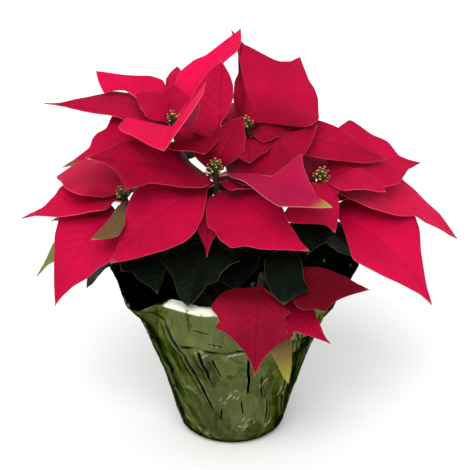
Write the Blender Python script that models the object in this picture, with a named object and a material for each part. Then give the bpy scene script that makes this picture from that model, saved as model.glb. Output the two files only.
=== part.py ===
"""A potted poinsettia: foil wrap, nursery pot, soil, branched stem, flowers, red bracts and green leaves."""

import math
from typing import NamedTuple

import bmesh
import bpy
from mathutils import Matrix, Vector

# Every length below is in millimetres and is multiplied by MM when a mesh is made.
MM = 0.001
GAP = 0.3
UP = Vector((0, 0, 1))

# Foil wrap: (height, radius) from the middle of the floor to the top edge, at the sides and at the front.
FOIL_SIDE = (
    (0, 22), (0, 44), (3, 48), (9, 51.5), (23, 56.5), (44, 62.5), (65, 68.5), (86, 75),
    (112, 85.5), (126, 92.5), (145, 100), (160, 111), (171, 119), (182, 124.5),
)
FOIL_FRONT = (
    (0, 22), (0, 44), (3, 48), (9, 51.5), (23, 56.5), (44, 62.5), (65, 68.5), (86, 75),
    (112, 85.5), (126, 91), (140, 92), (155, 93), (167, 94), (170, 84),
)
FOIL_THICKNESS = 0.8
FOIL_SIDES = 40
FOIL_FRONT_HALF_ANGLE = 46
FOIL_BLEND_ANGLE = 44
FOIL_DIP, FOIL_DIP_ANGLE, FOIL_DIP_SPREAD, FOIL_DIP_FOOT = 26, 66, 12, 132
FOIL_CRUMPLE = 1.6
FOIL_WAVES = ((9, 0.7, 1), (14, 2.4, 0.7), (5, 2, 0.5))

# Nursery pot and what it holds
POT_FLOOR = 1.15
POT_BASE_RADIUS = 45.5
POT_BODY_TOP, POT_BODY_RADIUS = 94, 73
POT_RIM_TOP, POT_RIM_RADIUS = 112, 77.5
POT_WALL = 1.6
POT_FOOT_BEVEL, POT_STEP = 1.6, 2
POT_SIDES = 32
DRAIN_HOLES, DRAIN_RADIUS, DRAIN_CIRCLE = 4, 5, 28
SOIL_TOP = 98
SOIL_MOUND, SOIL_EDGE_SLOPE, SOIL_FLAT_RADIUS = 3, 3, 34

# Trunk and branches: each branch runs through its points, from the trunk to its flower cluster.
TRUNK_RADIUS, TRUNK_FOOT, TRUNK_SHOULDER, TRUNK_TOP, TRUNK_TOP_RADIUS = 7, 70, 112, 120, 4.2
TRUNK_SIDES = 12
BRANCH_FOOT_RADIUS, BRANCH_TIP_RADIUS = 5, 3.4
BRANCH_SIDES = 8
BRANCHES = {
    "middle": ((0, 0, 108), (-4, -5, 165), (-12, -12, 225), (-16, -15, 286)),
    "upper_left": ((0, 0, 108), (-18, 8, 168), (-42, 13, 250), (-58, 15, 328)),
    "left": ((0, 0, 108), (-35, -2, 150), (-82, -5, 198), (-108, -5, 257)),
    "right": ((0, 0, 108), (30, -2, 155), (68, -5, 212), (88, -5, 275)),
    "back": ((0, 0, 108), (6, 16, 165), (13, 26, 245), (15, 30, 318)),
    "low_front": ((0, 0, 108), (10, -28, 150), (24, -60, 174), (29, -72, 200)),
}
FLOWER_HEIGHT = 9
FLOWER_SIDES, FLOWER_BANDS, FLOWER_LOBES, FLOWER_LOBE_DEPTH = 14, 7, 7, 0.16
FLOWER_RADII = {"middle": 10, "upper_left": 6, "left": 6, "right": 8, "back": 6}

PETIOLE_HALF_WIDTH, PETIOLE_THICKNESS = 1.3, 2.4
BLADE_THICKNESS = 0.8
LEAF_STATIONS = (0, 0.08, 0.2, 0.34, 0.5, 0.68, 0.86, 1)
LEAF_ACROSS = 4
# The roll and fold of a blade grow over these shares of its length, and its tip runs out after TIP_START.
ROLL_SHARE, FOLD_SHARE, TIP_START = 1 / 3, 1 / 4, 0.9
MIDRIB_SWELL = 0.5

RED, DARK_RED, GREEN, OLIVE = "red_bract", "dark_red_bract", "green_leaf", "olive_leaf"
LEAF_COLOURS = {
    RED: (0.62, 0.012, 0.05),
    DARK_RED: (0.36, 0.008, 0.03),
    GREEN: (0.02, 0.05, 0.018),
    OLIVE: (0.14, 0.14, 0.03),
}


class Leaf(NamedTuple):
    """One bract or leaf. Its petiole starts drop under the branch's top, and its tip is a place in the room.

    roll turns the blade about its length, arch and sway bow its midrib up and to its right as shares of its
    length, fold lifts both halves, skew makes the right half wider, and belly is where the blade is widest.
    """

    name: str
    branch: str
    drop: float
    tip: tuple
    width: float
    roll: float = 0
    arch: float = 0.1
    fold: float = 6
    skew: float = 0
    sway: float = 0
    belly: float = 0.42
    petiole: float = 0.08
    colour: str = RED


LEAVES = (
    # The whorl in the middle
    Leaf("middle_bract_front_left", "middle", 15, (-115, -88, 218), 76, roll=-20, arch=0.08, belly=0.4),
    Leaf("middle_bract_left", "middle", 8, (-138, -60, 314), 66, roll=-36, arch=0.02, belly=0.5),
    Leaf("middle_bract_right", "middle", 9, (84, 10, 324), 58, roll=34, arch=-0.04, colour=DARK_RED),
    Leaf(
        "middle_bract_front_right", "middle", 22, (73, -90, 231), 84,
        roll=24, skew=0.3, belly=0.3, arch=0.07,
    ),
    Leaf("middle_bract_folded", "middle", 6, (94, -84, 273), 62, roll=30, fold=24, skew=-0.3, belly=0.55),
    Leaf("middle_bract_under", "middle", 24, (-24, -60, 212), 28, arch=0.25, petiole=0.2, colour=DARK_RED),
    Leaf("middle_bract_back", "middle", 9, (-10, 34, 382), 42, arch=-0.06),
    # The whorl at the upper left
    Leaf("upper_left_bract_front", "upper_left", 8, (-63, -68, 323), 96, roll=20, fold=26, belly=0.5),
    Leaf("upper_left_bract_rear", "upper_left", 12, (-56, 90, 360), 22, belly=0.55, colour=DARK_RED),
    Leaf("upper_left_bract_top_left", "upper_left", 8, (-137, 70, 361), 58, roll=-28, arch=0.03),
    Leaf(
        "upper_left_bract_left", "upper_left", 19, (-185, 25, 341), 54,
        roll=-12, arch=0.05, colour=DARK_RED,
    ),
    Leaf("upper_left_bract_low_left", "upper_left", 26, (-164, -20, 290), 72, roll=-20, arch=0.08),
    Leaf("upper_left_bract_low_right", "upper_left", 24, (-26, -34, 308), 50, arch=0.08, colour=DARK_RED),
    Leaf("upper_left_bract_right", "upper_left", 3, (9, 112, 394), 52, fold=12, arch=0.05, belly=0.5),
    Leaf("upper_left_bract_back", "upper_left", 22, (-80, 112, 322), 64, arch=0.12),
    # The whorl at the back
    Leaf("back_bract_top_right", "back", 5, (70, 105, 366), 104, roll=26, fold=14, belly=0.45),
    Leaf("back_bract_top", "back", 13, (-1, 150, 383), 60, skew=0.3, sway=0.08, roll=12, arch=0.04, fold=0),
    Leaf("back_bract_low_right", "back", 12, (154, 14, 286), 54, roll=34, arch=0.05, colour=DARK_RED),
    Leaf("back_bract_right", "back", 25, (78, 115, 283), 74, arch=0.16),
    Leaf("back_bract_rear", "back", 20, (0, 150, 300), 80, arch=0.14),
    # The whorl at the left
    Leaf("left_bract_hanging", "left", 13, (-171, -70, 166), 80, roll=-16, arch=0.14, skew=-0.05),
    Leaf("left_bract_tip", "left", 8, (-208, -10, 233), 54, roll=-14),
    Leaf("left_bract_high", "left", 4, (-177, 34, 261), 40, arch=0.12, colour=DARK_RED),
    Leaf("left_leaf_brown", "left", 8, (-137, -75, 241), 30, arch=0.12, colour=OLIVE),
    Leaf("left_bract_back", "left", 15, (-159, 78, 236), 62, arch=0.14),
    # The whorl at the right
    Leaf("right_bract_hanging", "right", 32, (195, -60, 162), 84, roll=16, arch=0.12, skew=-0.08),
    Leaf("right_bract_tip", "right", 14, (228, 15, 201), 70, roll=14),
    Leaf("right_bract_far", "right", 8, (191, 45, 272), 90, roll=28, skew=-0.15),
    Leaf("right_bract_front", "right", 12, (98, -68, 241), 62, arch=0.2, belly=0.33),
    Leaf("right_bract_side", "right", 5, (148, -40, 272), 40, roll=10),
    Leaf("right_bract_back", "right", 13, (119, 98, 262), 64, arch=0.14),
    Leaf("right_bract_back_low", "right", 32, (176, 76, 214), 62, arch=0.14),
    # The low shoot at the front
    Leaf("low_bract_hanging", "low_front", 8, (22, -124, 118), 88, arch=0.2, belly=0.24, petiole=0.04),
    Leaf("low_bract_right", "low_front", 16, (93, -117, 148), 52, arch=0.02, roll=10, petiole=0.3),
    Leaf("low_bract_far_right", "low_front", 3, (130, -95, 194), 56, roll=30, arch=0.06),
    Leaf("low_bract_olive", "low_front", 20, (54, -106, 100), 32, arch=0.26, petiole=0.36, colour=OLIVE),
    # Green leaves
    Leaf(
        "green_leaf_front_right", "right", 78, (49, -115, 187), 46,
        roll=10, petiole=0.3, arch=0.2, colour=GREEN,
    ),
    Leaf("green_leaf_front_left", "middle", 63, (-42, -92, 175), 74, arch=0.12, petiole=0.2, colour=GREEN),
    Leaf("green_leaf_left_low", "left", 38, (-72, -70, 179), 56, petiole=0.16, colour=GREEN),
    Leaf("green_leaf_middle", "middle", 74, (4, -62, 178), 56, petiole=0.16, colour=GREEN),
    Leaf("green_leaf_right_front", "right", 40, (73, -50, 211), 36, petiole=0.16, colour=OLIVE),
    Leaf("green_leaf_right", "right", 50, (119, -22, 197), 58, arch=0.14, petiole=0.16, colour=GREEN),
    Leaf("green_leaf_left_far", "left", 28, (-183, 16, 220), 44, petiole=0.16, colour=OLIVE),
    Leaf("green_leaf_left_hanging", "left", 32, (-195, -18, 174), 50, arch=0.14, petiole=0.16, colour=OLIVE),
    Leaf("green_leaf_left_under", "left", 46, (-145, -22, 163), 54, arch=0.14, petiole=0.16, colour=GREEN),
    Leaf("green_leaf_back", "back", 70, (14, 128, 206), 80, arch=0.14, petiole=0.16, colour=GREEN),
    Leaf(
        "green_leaf_back_left", "upper_left", 78, (-95, 95, 214), 76,
        arch=0.14, petiole=0.16, colour=GREEN,
    ),
    Leaf("green_leaf_back_right", "back", 82, (96, 88, 208), 74, arch=0.14, petiole=0.16, colour=GREEN),
    Leaf(
        "green_leaf_high_left", "upper_left", 56, (-52, 128, 262), 66,
        arch=0.12, petiole=0.16, colour=GREEN,
    ),
    Leaf("green_leaf_high_right", "back", 52, (66, 130, 240), 66, arch=0.12, petiole=0.16, colour=GREEN),
    Leaf("green_leaf_left_back", "left", 58, (-120, 60, 197), 52, arch=0.14, petiole=0.16, colour=GREEN),
)


def clear_scene():
    for obj in list(bpy.data.objects):
        bpy.data.objects.remove(obj, do_unlink=True)


def material(name, colour, roughness, metallic=0.0):
    """A plain material, made once for each name."""
    found = bpy.data.materials.get(name)
    if found:
        return found
    made = bpy.data.materials.new(name)
    made.use_nodes = True
    shader = made.node_tree.nodes["Principled BSDF"]
    shader.inputs["Base Color"].default_value = (*colour, 1)
    shader.inputs["Roughness"].default_value = roughness
    shader.inputs["Metallic"].default_value = metallic
    return made


def add_object(name, mesh_builder, finish, smooth=True):
    """Turns a bmesh in millimetres into an object in metres, with its faces pointing out."""
    bmesh.ops.recalc_face_normals(mesh_builder, faces=mesh_builder.faces)
    bmesh.ops.scale(mesh_builder, vec=(MM, MM, MM), verts=mesh_builder.verts)
    mesh = bpy.data.meshes.new(name)
    mesh_builder.to_mesh(mesh)
    mesh_builder.free()
    for polygon in mesh.polygons:
        polygon.use_smooth = smooth
    obj = bpy.data.objects.new(name, mesh)
    obj.data.materials.append(finish)
    bpy.context.collection.objects.link(obj)
    return obj


def smooth_step(value):
    value = min(max(value, 0), 1)
    return value * value * (3 - 2 * value)


def bridge(builder, rings):
    """Joins each ring of vertices to the next with a band of faces."""
    for lower, upper in zip(rings, rings[1:]):
        count = len(lower)
        for i in range(count):
            j = (i + 1) % count
            builder.faces.new((lower[i], lower[j], upper[j], upper[i]))


def lathe(profile, sides):
    """A closed solid of revolution from a profile of (height, radius) that starts and ends on the axis."""
    builder = bmesh.new()
    rings = []
    for height, radius in profile[1:-1]:
        turns = [2 * math.pi * i / sides for i in range(sides)]
        places = [(radius * math.cos(turn), radius * math.sin(turn), height) for turn in turns]
        rings.append([builder.verts.new(place) for place in places])
    bridge(builder, rings)
    for (height, _), ring in ((profile[0], rings[0]), (profile[-1], rings[-1])):
        pole = builder.verts.new((0, 0, height))
        for i in range(sides):
            builder.faces.new((ring[i], ring[(i + 1) % sides], pole))
    return builder


# The foil wrap

def front_share(turn):
    """1 at the front, where the foil is pressed low, and 0 at the sides and back."""
    from_front = math.degrees(abs(math.remainder(turn + math.pi / 2, 2 * math.pi)))
    return 1 - smooth_step((from_front - FOIL_FRONT_HALF_ANGLE) / FOIL_BLEND_ANGLE)


def dip(turn):
    """How far the top edge sinks beside the front, where the flare meets the pressed part: 0 to 1."""
    from_front = math.degrees(abs(math.remainder(turn + math.pi / 2, 2 * math.pi)))
    return math.exp(-(((from_front - FOIL_DIP_ANGLE) / FOIL_DIP_SPREAD) ** 2))


def crumple(turn, height):
    """How far the foil stands out at a place: nothing under the pot's rim, most at the flared edge."""
    share = smooth_step((height - POT_RIM_TOP) / (FOIL_SIDE[-1][0] - POT_RIM_TOP))
    wave = sum(size * math.sin(count * turn + start) for count, start, size in FOIL_WAVES)
    return FOIL_CRUMPLE * share * wave


def make_foil_wrap():
    builder = bmesh.new()
    rings = []
    for side, front in zip(FOIL_SIDE, FOIL_FRONT):
        ring = []
        for i in range(FOIL_SIDES):
            turn = 2 * math.pi * i / FOIL_SIDES
            share = front_share(turn)
            sunk = dip(turn) * max(side[0] - FOIL_DIP_FOOT, 0) / (FOIL_SIDE[-1][0] - FOIL_DIP_FOOT)
            height = side[0] + (front[0] - side[0]) * share - FOIL_DIP * sunk
            radius = side[1] + (front[1] - side[1]) * share + crumple(turn, side[0])
            ring.append(builder.verts.new((radius * math.cos(turn), radius * math.sin(turn), height)))
        rings.append(ring)
    bridge(builder, rings)
    pole = builder.verts.new((0, 0, 0))
    for i in range(FOIL_SIDES):
        builder.faces.new((rings[0][(i + 1) % FOIL_SIDES], rings[0][i], pole))
    foil = add_object("foil_wrap", builder, material("green_foil", (0.1, 0.13, 0.05), 0.25, 0.9))
    skin = foil.modifiers.new("thickness", "SOLIDIFY")
    skin.thickness = FOIL_THICKNESS * MM
    skin.offset = -1
    return foil


# The pot and its soil

def pot_radius(height):
    """Outside radius of the pot's tapered wall under the rim band."""
    share = (height - POT_FLOOR) / (POT_BODY_TOP - POT_FLOOR)
    return POT_BASE_RADIUS + (POT_BODY_RADIUS - POT_BASE_RADIUS) * share


def make_nursery_pot():
    inner_floor = POT_FLOOR + POT_WALL
    profile = (
        (POT_FLOOR, 0), (POT_FLOOR, POT_BASE_RADIUS - POT_FOOT_BEVEL),
        (POT_FLOOR + POT_STEP, pot_radius(POT_FLOOR + POT_STEP)),
        (POT_BODY_TOP, POT_BODY_RADIUS), (POT_BODY_TOP + POT_STEP, POT_RIM_RADIUS),
        (POT_RIM_TOP, POT_RIM_RADIUS), (POT_RIM_TOP, POT_RIM_RADIUS - POT_WALL),
        (POT_BODY_TOP + 2 * POT_STEP, POT_RIM_RADIUS - POT_WALL),
        (POT_BODY_TOP, POT_BODY_RADIUS - POT_WALL), (inner_floor, pot_radius(inner_floor) - POT_WALL),
        (inner_floor, 0),
    )
    black_plastic = material("pot_plastic", (0.03, 0.03, 0.03), 0.5)
    pot = add_object("nursery_pot", lathe(profile, POT_SIDES), black_plastic)
    for i in range(DRAIN_HOLES):
        turn = 2 * math.pi * (i + 0.5) / DRAIN_HOLES
        cutter = bmesh.new()
        bmesh.ops.create_cone(
            cutter, cap_ends=True, segments=12, radius1=DRAIN_RADIUS, radius2=DRAIN_RADIUS, depth=8
        )
        place = Vector((DRAIN_CIRCLE * math.cos(turn), DRAIN_CIRCLE * math.sin(turn), POT_FLOOR))
        bmesh.ops.translate(cutter, vec=place, verts=cutter.verts)
        combine(pot, add_object(f"drain_cutter_{i}", cutter, black_plastic), "DIFFERENCE")
    return pot


def combine(obj, other, operation):
    """Adds a Boolean with a helper object, which stays out of the render."""
    other.hide_render = True
    other.display_type = "WIRE"
    boolean = obj.modifiers.new(other.name, "BOOLEAN")
    boolean.object = other
    boolean.operation = operation


def make_soil():
    floor = POT_FLOOR + POT_WALL + GAP
    clearance = POT_WALL + GAP
    socket = TRUNK_RADIUS + GAP
    profile = (
        (floor, 0), (floor, pot_radius(floor) - clearance), (POT_BODY_TOP, POT_BODY_RADIUS - clearance),
        (SOIL_TOP, POT_BODY_RADIUS - clearance - SOIL_EDGE_SLOPE),
        (SOIL_TOP + SOIL_MOUND, SOIL_FLAT_RADIUS), (SOIL_TOP + SOIL_MOUND, socket),
        (TRUNK_FOOT - GAP, socket), (TRUNK_FOOT - GAP, 0),
    )
    return add_object("soil", lathe(profile, POT_SIDES), material("potting_mix", (0.03, 0.02, 0.012), 0.95))


# The branched stem

def branch_points(name):
    return [Vector(point) for point in BRANCHES[name]]


def branch_place(name, drop):
    """(place on the branch's axis, direction of the branch, radius) at a distance below its top."""
    points = branch_points(name)
    whole = sum((b - a).length for a, b in zip(points, points[1:]))
    left = drop
    for low, high in reversed(list(zip(points, points[1:]))):
        length = (high - low).length
        if left <= length:
            break
        left -= length
    share = 1 - drop / whole
    radius = BRANCH_FOOT_RADIUS + (BRANCH_TIP_RADIUS - BRANCH_FOOT_RADIUS) * share
    direction = (high - low).normalized()
    return high - direction * left, direction, radius


def tube(points, radii, sides):
    """A closed tube through the points, with one ring at each."""
    builder = bmesh.new()
    rings = []
    for i, (point, radius) in enumerate(zip(points, radii)):
        ahead = points[min(i + 1, len(points) - 1)] - points[max(i - 1, 0)]
        turned = ahead.normalized().to_track_quat("Z", "Y").to_matrix()
        ring = []
        for k in range(sides):
            angle = 2 * math.pi * k / sides
            outward = turned @ Vector((math.cos(angle), math.sin(angle), 0))
            ring.append(builder.verts.new(point + outward * radius))
        rings.append(ring)
    bridge(builder, rings)
    builder.faces.new(rings[0])
    builder.faces.new(rings[-1])
    return builder


def make_stems():
    """The trunk, with each branch joined to it."""
    bark = material("stem", (0.16, 0.2, 0.05), 0.6)
    trunk_points = [Vector((0, 0, height)) for height in (TRUNK_FOOT, TRUNK_SHOULDER, TRUNK_TOP)]
    trunk_radii = (TRUNK_RADIUS, TRUNK_RADIUS, TRUNK_TOP_RADIUS)
    stems = add_object("stems", tube(trunk_points, trunk_radii, TRUNK_SIDES), bark)
    for name in BRANCHES:
        points = branch_points(name)
        share = [i / (len(points) - 1) for i in range(len(points))]
        radii = [BRANCH_FOOT_RADIUS + (BRANCH_TIP_RADIUS - BRANCH_FOOT_RADIUS) * s for s in share]
        combine(stems, add_object(f"branch_{name}", tube(points, radii, BRANCH_SIDES), bark), "UNION")
    return stems


def make_flowers(branch):
    """A mound of small cups that sits on the branch's end."""
    top, direction, _ = branch_place(branch, 0)
    radius = FLOWER_RADII[branch]
    builder = bmesh.new()
    bmesh.ops.create_uvsphere(builder, u_segments=FLOWER_SIDES, v_segments=FLOWER_BANDS, radius=1)
    for vert in builder.verts:
        turn = math.atan2(vert.co.y, vert.co.x)
        lobe = 1 + FLOWER_LOBE_DEPTH * math.cos(FLOWER_LOBES * turn) * math.hypot(vert.co.x, vert.co.y)
        wide = radius * lobe
        vert.co = Vector((vert.co.x * wide, vert.co.y * wide, vert.co.z * FLOWER_HEIGHT / 2))
    turned = direction.to_track_quat("Z", "Y").to_matrix().to_4x4()
    middle = top + direction * (FLOWER_HEIGHT / 2 + GAP)
    bmesh.ops.transform(builder, matrix=Matrix.Translation(middle) @ turned, verts=builder.verts)
    return add_object(f"flowers_{branch}", builder, material("flowers", (0.25, 0.3, 0.03), 0.5))


# Bracts and leaves

def outline(along, belly):
    """Half the width of a blade, as a share of its greatest, from its foot at 0 to its tip at 1."""
    if not 0 < along < 1:
        return 0
    return (along / belly) ** (2 * belly) * ((1 - along) / (1 - belly)) ** (2 - 2 * belly)


class Course(NamedTuple):
    """Where a leaf runs: its foot, the chord to its tip, and the directions above and to the right of it."""

    foot: Vector
    chord: Vector
    normal: Vector
    side: Vector


def spine(leaf, course, along):
    """A place on the midrib and the direction of the midrib there."""
    bow = (course.normal * leaf.arch + course.side * leaf.sway) * (4 * course.chord.length)
    place = course.foot + course.chord * along + bow * (along * (1 - along))
    return place, (course.chord + bow * (1 - 2 * along)).normalized()


def leaf_course(leaf):
    """The course that sets the leaf's foot just clear of its branch."""
    on_axis, direction, radius = branch_place(leaf.branch, leaf.drop)
    foot = on_axis
    for _ in range(3):
        chord = Vector(leaf.tip) - foot
        normal = (UP - chord * UP.dot(chord) / chord.length_squared).normalized()
        course = Course(foot, chord, normal, chord.normalized().cross(normal))
        start = spine(leaf, course, 0)[1]
        outward = (start - direction * start.dot(direction)).normalized()
        slope = start.cross(outward).length
        foot = on_axis + outward * (radius + GAP + slope * PETIOLE_THICKNESS / 2)
    return course._replace(foot=foot, chord=Vector(leaf.tip) - foot)


def leaf_point(leaf, course, along, across):
    """A place on the leaf's middle surface: along from 0 to 1, across from -1 to 1."""
    place, tangent = spine(leaf, course, along)
    blade = (along - leaf.petiole) / (1 - leaf.petiole)
    turned = Matrix.Rotation(math.radians(leaf.roll * smooth_step(blade / ROLL_SHARE)), 3, tangent)
    right = (turned @ course.side).normalized()
    above = right.cross(tangent)
    half = outline(blade, leaf.belly) * leaf.width / 2 * (1 + leaf.skew * across)
    half = max(half, PETIOLE_HALF_WIDTH if along < TIP_START else 0)
    rise = math.radians(leaf.fold) * smooth_step(blade / FOLD_SHARE)
    return place + right * (across * half * math.cos(rise)) + above * (abs(across) * half * math.sin(rise))


def make_leaf(leaf):
    builder = bmesh.new()
    layer = builder.verts.layers.deform.verify()
    course = leaf_course(leaf)
    stations = [0, *(leaf.petiole + (1 - leaf.petiole) * s for s in LEAF_STATIONS)]
    rows = []
    for along in stations[:-1]:
        row = []
        for k in range(LEAF_ACROSS + 1):
            across = 2 * k / LEAF_ACROSS - 1
            vert = builder.verts.new(leaf_point(leaf, course, along, across))
            vert[layer][0] = 1 if along <= leaf.petiole else (1 - abs(across)) * MIDRIB_SWELL * (1 - along)
            row.append(vert)
        rows.append(row)
    for lower, upper in zip(rows, rows[1:]):
        for k in range(LEAF_ACROSS):
            builder.faces.new((lower[k], lower[k + 1], upper[k + 1], upper[k]))
    tip = builder.verts.new(leaf_point(leaf, course, 1, 0))
    tip[layer][0] = 0
    for k in range(LEAF_ACROSS):
        builder.faces.new((rows[-1][k], rows[-1][k + 1], tip))
    obj = add_object(leaf.name, builder, material(leaf.colour, LEAF_COLOURS[leaf.colour], 0.5))
    obj.vertex_groups.new(name="thick")
    skin = obj.modifiers.new("thickness", "SOLIDIFY")
    skin.thickness = PETIOLE_THICKNESS * MM
    skin.offset = 0
    skin.vertex_group = "thick"
    skin.thickness_vertex_group = BLADE_THICKNESS / PETIOLE_THICKNESS
    return obj


def main():
    clear_scene()
    make_foil_wrap()
    make_nursery_pot()
    make_soil()
    make_stems()
    for branch in FLOWER_RADII:
        make_flowers(branch)
    for leaf in LEAVES:
        make_leaf(leaf)


main()
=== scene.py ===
"""The looks of a potted poinsettia in a crinkled foil wrap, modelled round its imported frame."""

import math
from typing import NamedTuple

import bmesh
import bpy
from mathutils import Matrix, Vector, noise


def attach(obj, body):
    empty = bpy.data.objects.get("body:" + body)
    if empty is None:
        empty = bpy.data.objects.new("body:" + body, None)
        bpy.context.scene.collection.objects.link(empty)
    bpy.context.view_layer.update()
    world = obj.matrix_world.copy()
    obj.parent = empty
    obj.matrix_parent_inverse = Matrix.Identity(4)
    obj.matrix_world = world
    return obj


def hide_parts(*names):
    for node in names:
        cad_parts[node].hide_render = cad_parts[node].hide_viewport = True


bl_info = {
    "name": "Poinsettia",
    "version": (1, 0, 0),
    "blender": (4, 5, 0),
    "location": "3D View > Sidebar > Poinsettia",
    "description": "Makes a potted poinsettia with its bracts, leaves, flowers and foil wrap",
    "category": "Add Mesh",
}

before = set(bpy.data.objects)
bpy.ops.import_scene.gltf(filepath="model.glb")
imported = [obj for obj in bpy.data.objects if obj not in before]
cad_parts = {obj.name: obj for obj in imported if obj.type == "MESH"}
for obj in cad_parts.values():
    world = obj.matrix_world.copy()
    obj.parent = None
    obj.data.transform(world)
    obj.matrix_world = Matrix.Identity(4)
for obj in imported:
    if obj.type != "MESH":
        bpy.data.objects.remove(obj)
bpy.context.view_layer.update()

# Every length below is in millimetres and is multiplied by MM when a mesh is made.
MM = 0.001
UP = Vector((0, 0, 1))
BODY = "root"

# Branches: each runs through its points, from the trunk to its flower cluster.
BRANCH_FOOT_RADIUS, BRANCH_TIP_RADIUS = 5, 3.4
BRANCHES = {
    "middle": ((0, 0, 108), (-4, -5, 165), (-12, -12, 225), (-16, -15, 286)),
    "upper_left": ((0, 0, 108), (-18, 8, 168), (-42, 13, 250), (-58, 15, 328)),
    "left": ((0, 0, 108), (-35, -2, 150), (-82, -5, 198), (-108, -5, 257)),
    "right": ((0, 0, 108), (30, -2, 155), (68, -5, 212), (88, -5, 275)),
    "back": ((0, 0, 108), (6, 16, 165), (13, 26, 245), (15, 30, 318)),
    "low_front": ((0, 0, 108), (10, -28, 150), (24, -60, 174), (29, -72, 200)),
}
FLOWER_RADII = {"middle": 10, "upper_left": 6, "left": 6, "right": 8, "back": 6}

# A leaf is a grid with its first rows on its petiole, and its columns stand closer beside the midrib.
LEAF_COLUMNS, LEAF_ROWS, PETIOLE_ROWS, EDGE_CROWDING = 28, 72, 6, 1.3
PETIOLE_HALF_WIDTH, PETIOLE_THICKNESS, FOOT_DEPTH = 1.3, 2.4, 1
BLADE_THICKNESS, RIB_THICKNESS, LEAST_THICKNESS = 0.5, 1.3, 0.05
RIB_HALF_WIDTH, RIB_TAPER, RIB_GROOVE = 1.1, 0.8, 0.55

# Shares of a blade's length: over these it turns, folds, gets painted shade at its foot and is calm at its
# ends.
ROLL_SHARE, FOLD_SHARE, SHADE_SHARE, CALM_SHARE = 1 / 3, 1 / 4, 0.35, 0.12
TIP_HOLLOW, TIP_HOLLOW_START, FOOT_SHADE = 0.5, 0.62, 0.2
FIRST_TOOTH, TOOTH_STEP, TOOTH_GAP, TOOTH_BACK, TOOTH_FRONT = 0.4, 0.03, 0.2, 0.15, 0.06

# A tooth's size is a share of half the blade's width, and the second tooth's is a share of the first's.
TOOTH_SIZE, SECOND_TOOTH = 0.13, 0.6
TOOTH_BACK_CURVE, TOOTH_FRONT_CURVE = 1.7, 1.3

# Waves along a margin: how many a blade has, and how far each leaf's and each right side's are shifted.
WAVE_TURNS, WAVE_SHIFT, RIGHT_WAVE_SHIFT = 1.7, 0.37, 1.9

# Side veins: how many a blade has, and how they lean and bend towards its tip.
VEIN_COUNT, VEIN_SLOPE, VEIN_CURVE = 10, 0.7, 1.1

# A margin measured on the photo: how far the blade is followed to find it, the least pixels that a
# millimetre of it covers, and the least and most half width.
SIGHT_RUN, LEAST_SIGHT, LEAST_HALF, MOST_SPREAD, FULL_SPREAD = 10, 0.3, 0.6, 0.85, 0.12

# The photo's camera: one of its pixels is a millimetre at the middle of the view.
PICTURE_MIDDLE = 235
VIEW_CENTRE, VIEW_DISTANCE, VIEW_ELEVATION = Vector((3, 0, 211.5)), 1500, math.radians(22)
VIEW_BACK = Vector((0, -math.cos(VIEW_ELEVATION), math.sin(VIEW_ELEVATION)))
VIEW_UP = Vector((0, math.sin(VIEW_ELEVATION), math.cos(VIEW_ELEVATION)))

# The record's slots of bracts and leaves, and the folded bract's own colours.
RED, DARK_RED, GREEN, OLIVE = "bract_red", "bract_shaded", "leaf_green", "leaf_olive"
FOLDED = "bract_folded"


class Leaf(NamedTuple):
    """One bract or leaf. Its petiole starts drop under the branch's top, and its tip is a place in the room.

    roll turns the blade about its length, arch and sway bow its midrib up and to its right as shares
    of its length, fold lifts both halves, skew makes the right half wider, and belly is where the blade
    is widest. Its tone, from 0 to 1, is how light its colour is: mostly painted light and shade for how
    the light falls on the leaf, partly a colour of its own. green is where along the blade its tip
    begins to turn green.
    """

    name: str
    branch: str
    drop: float
    tip: tuple
    width: float
    roll: float = 0
    arch: float = 0.1
    fold: float = 6
    skew: float = 0
    sway: float = 0
    belly: float = 0.42
    petiole: float = 0.08
    colour: str = RED
    tone: float = 0.5
    green: float = 0.95


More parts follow.
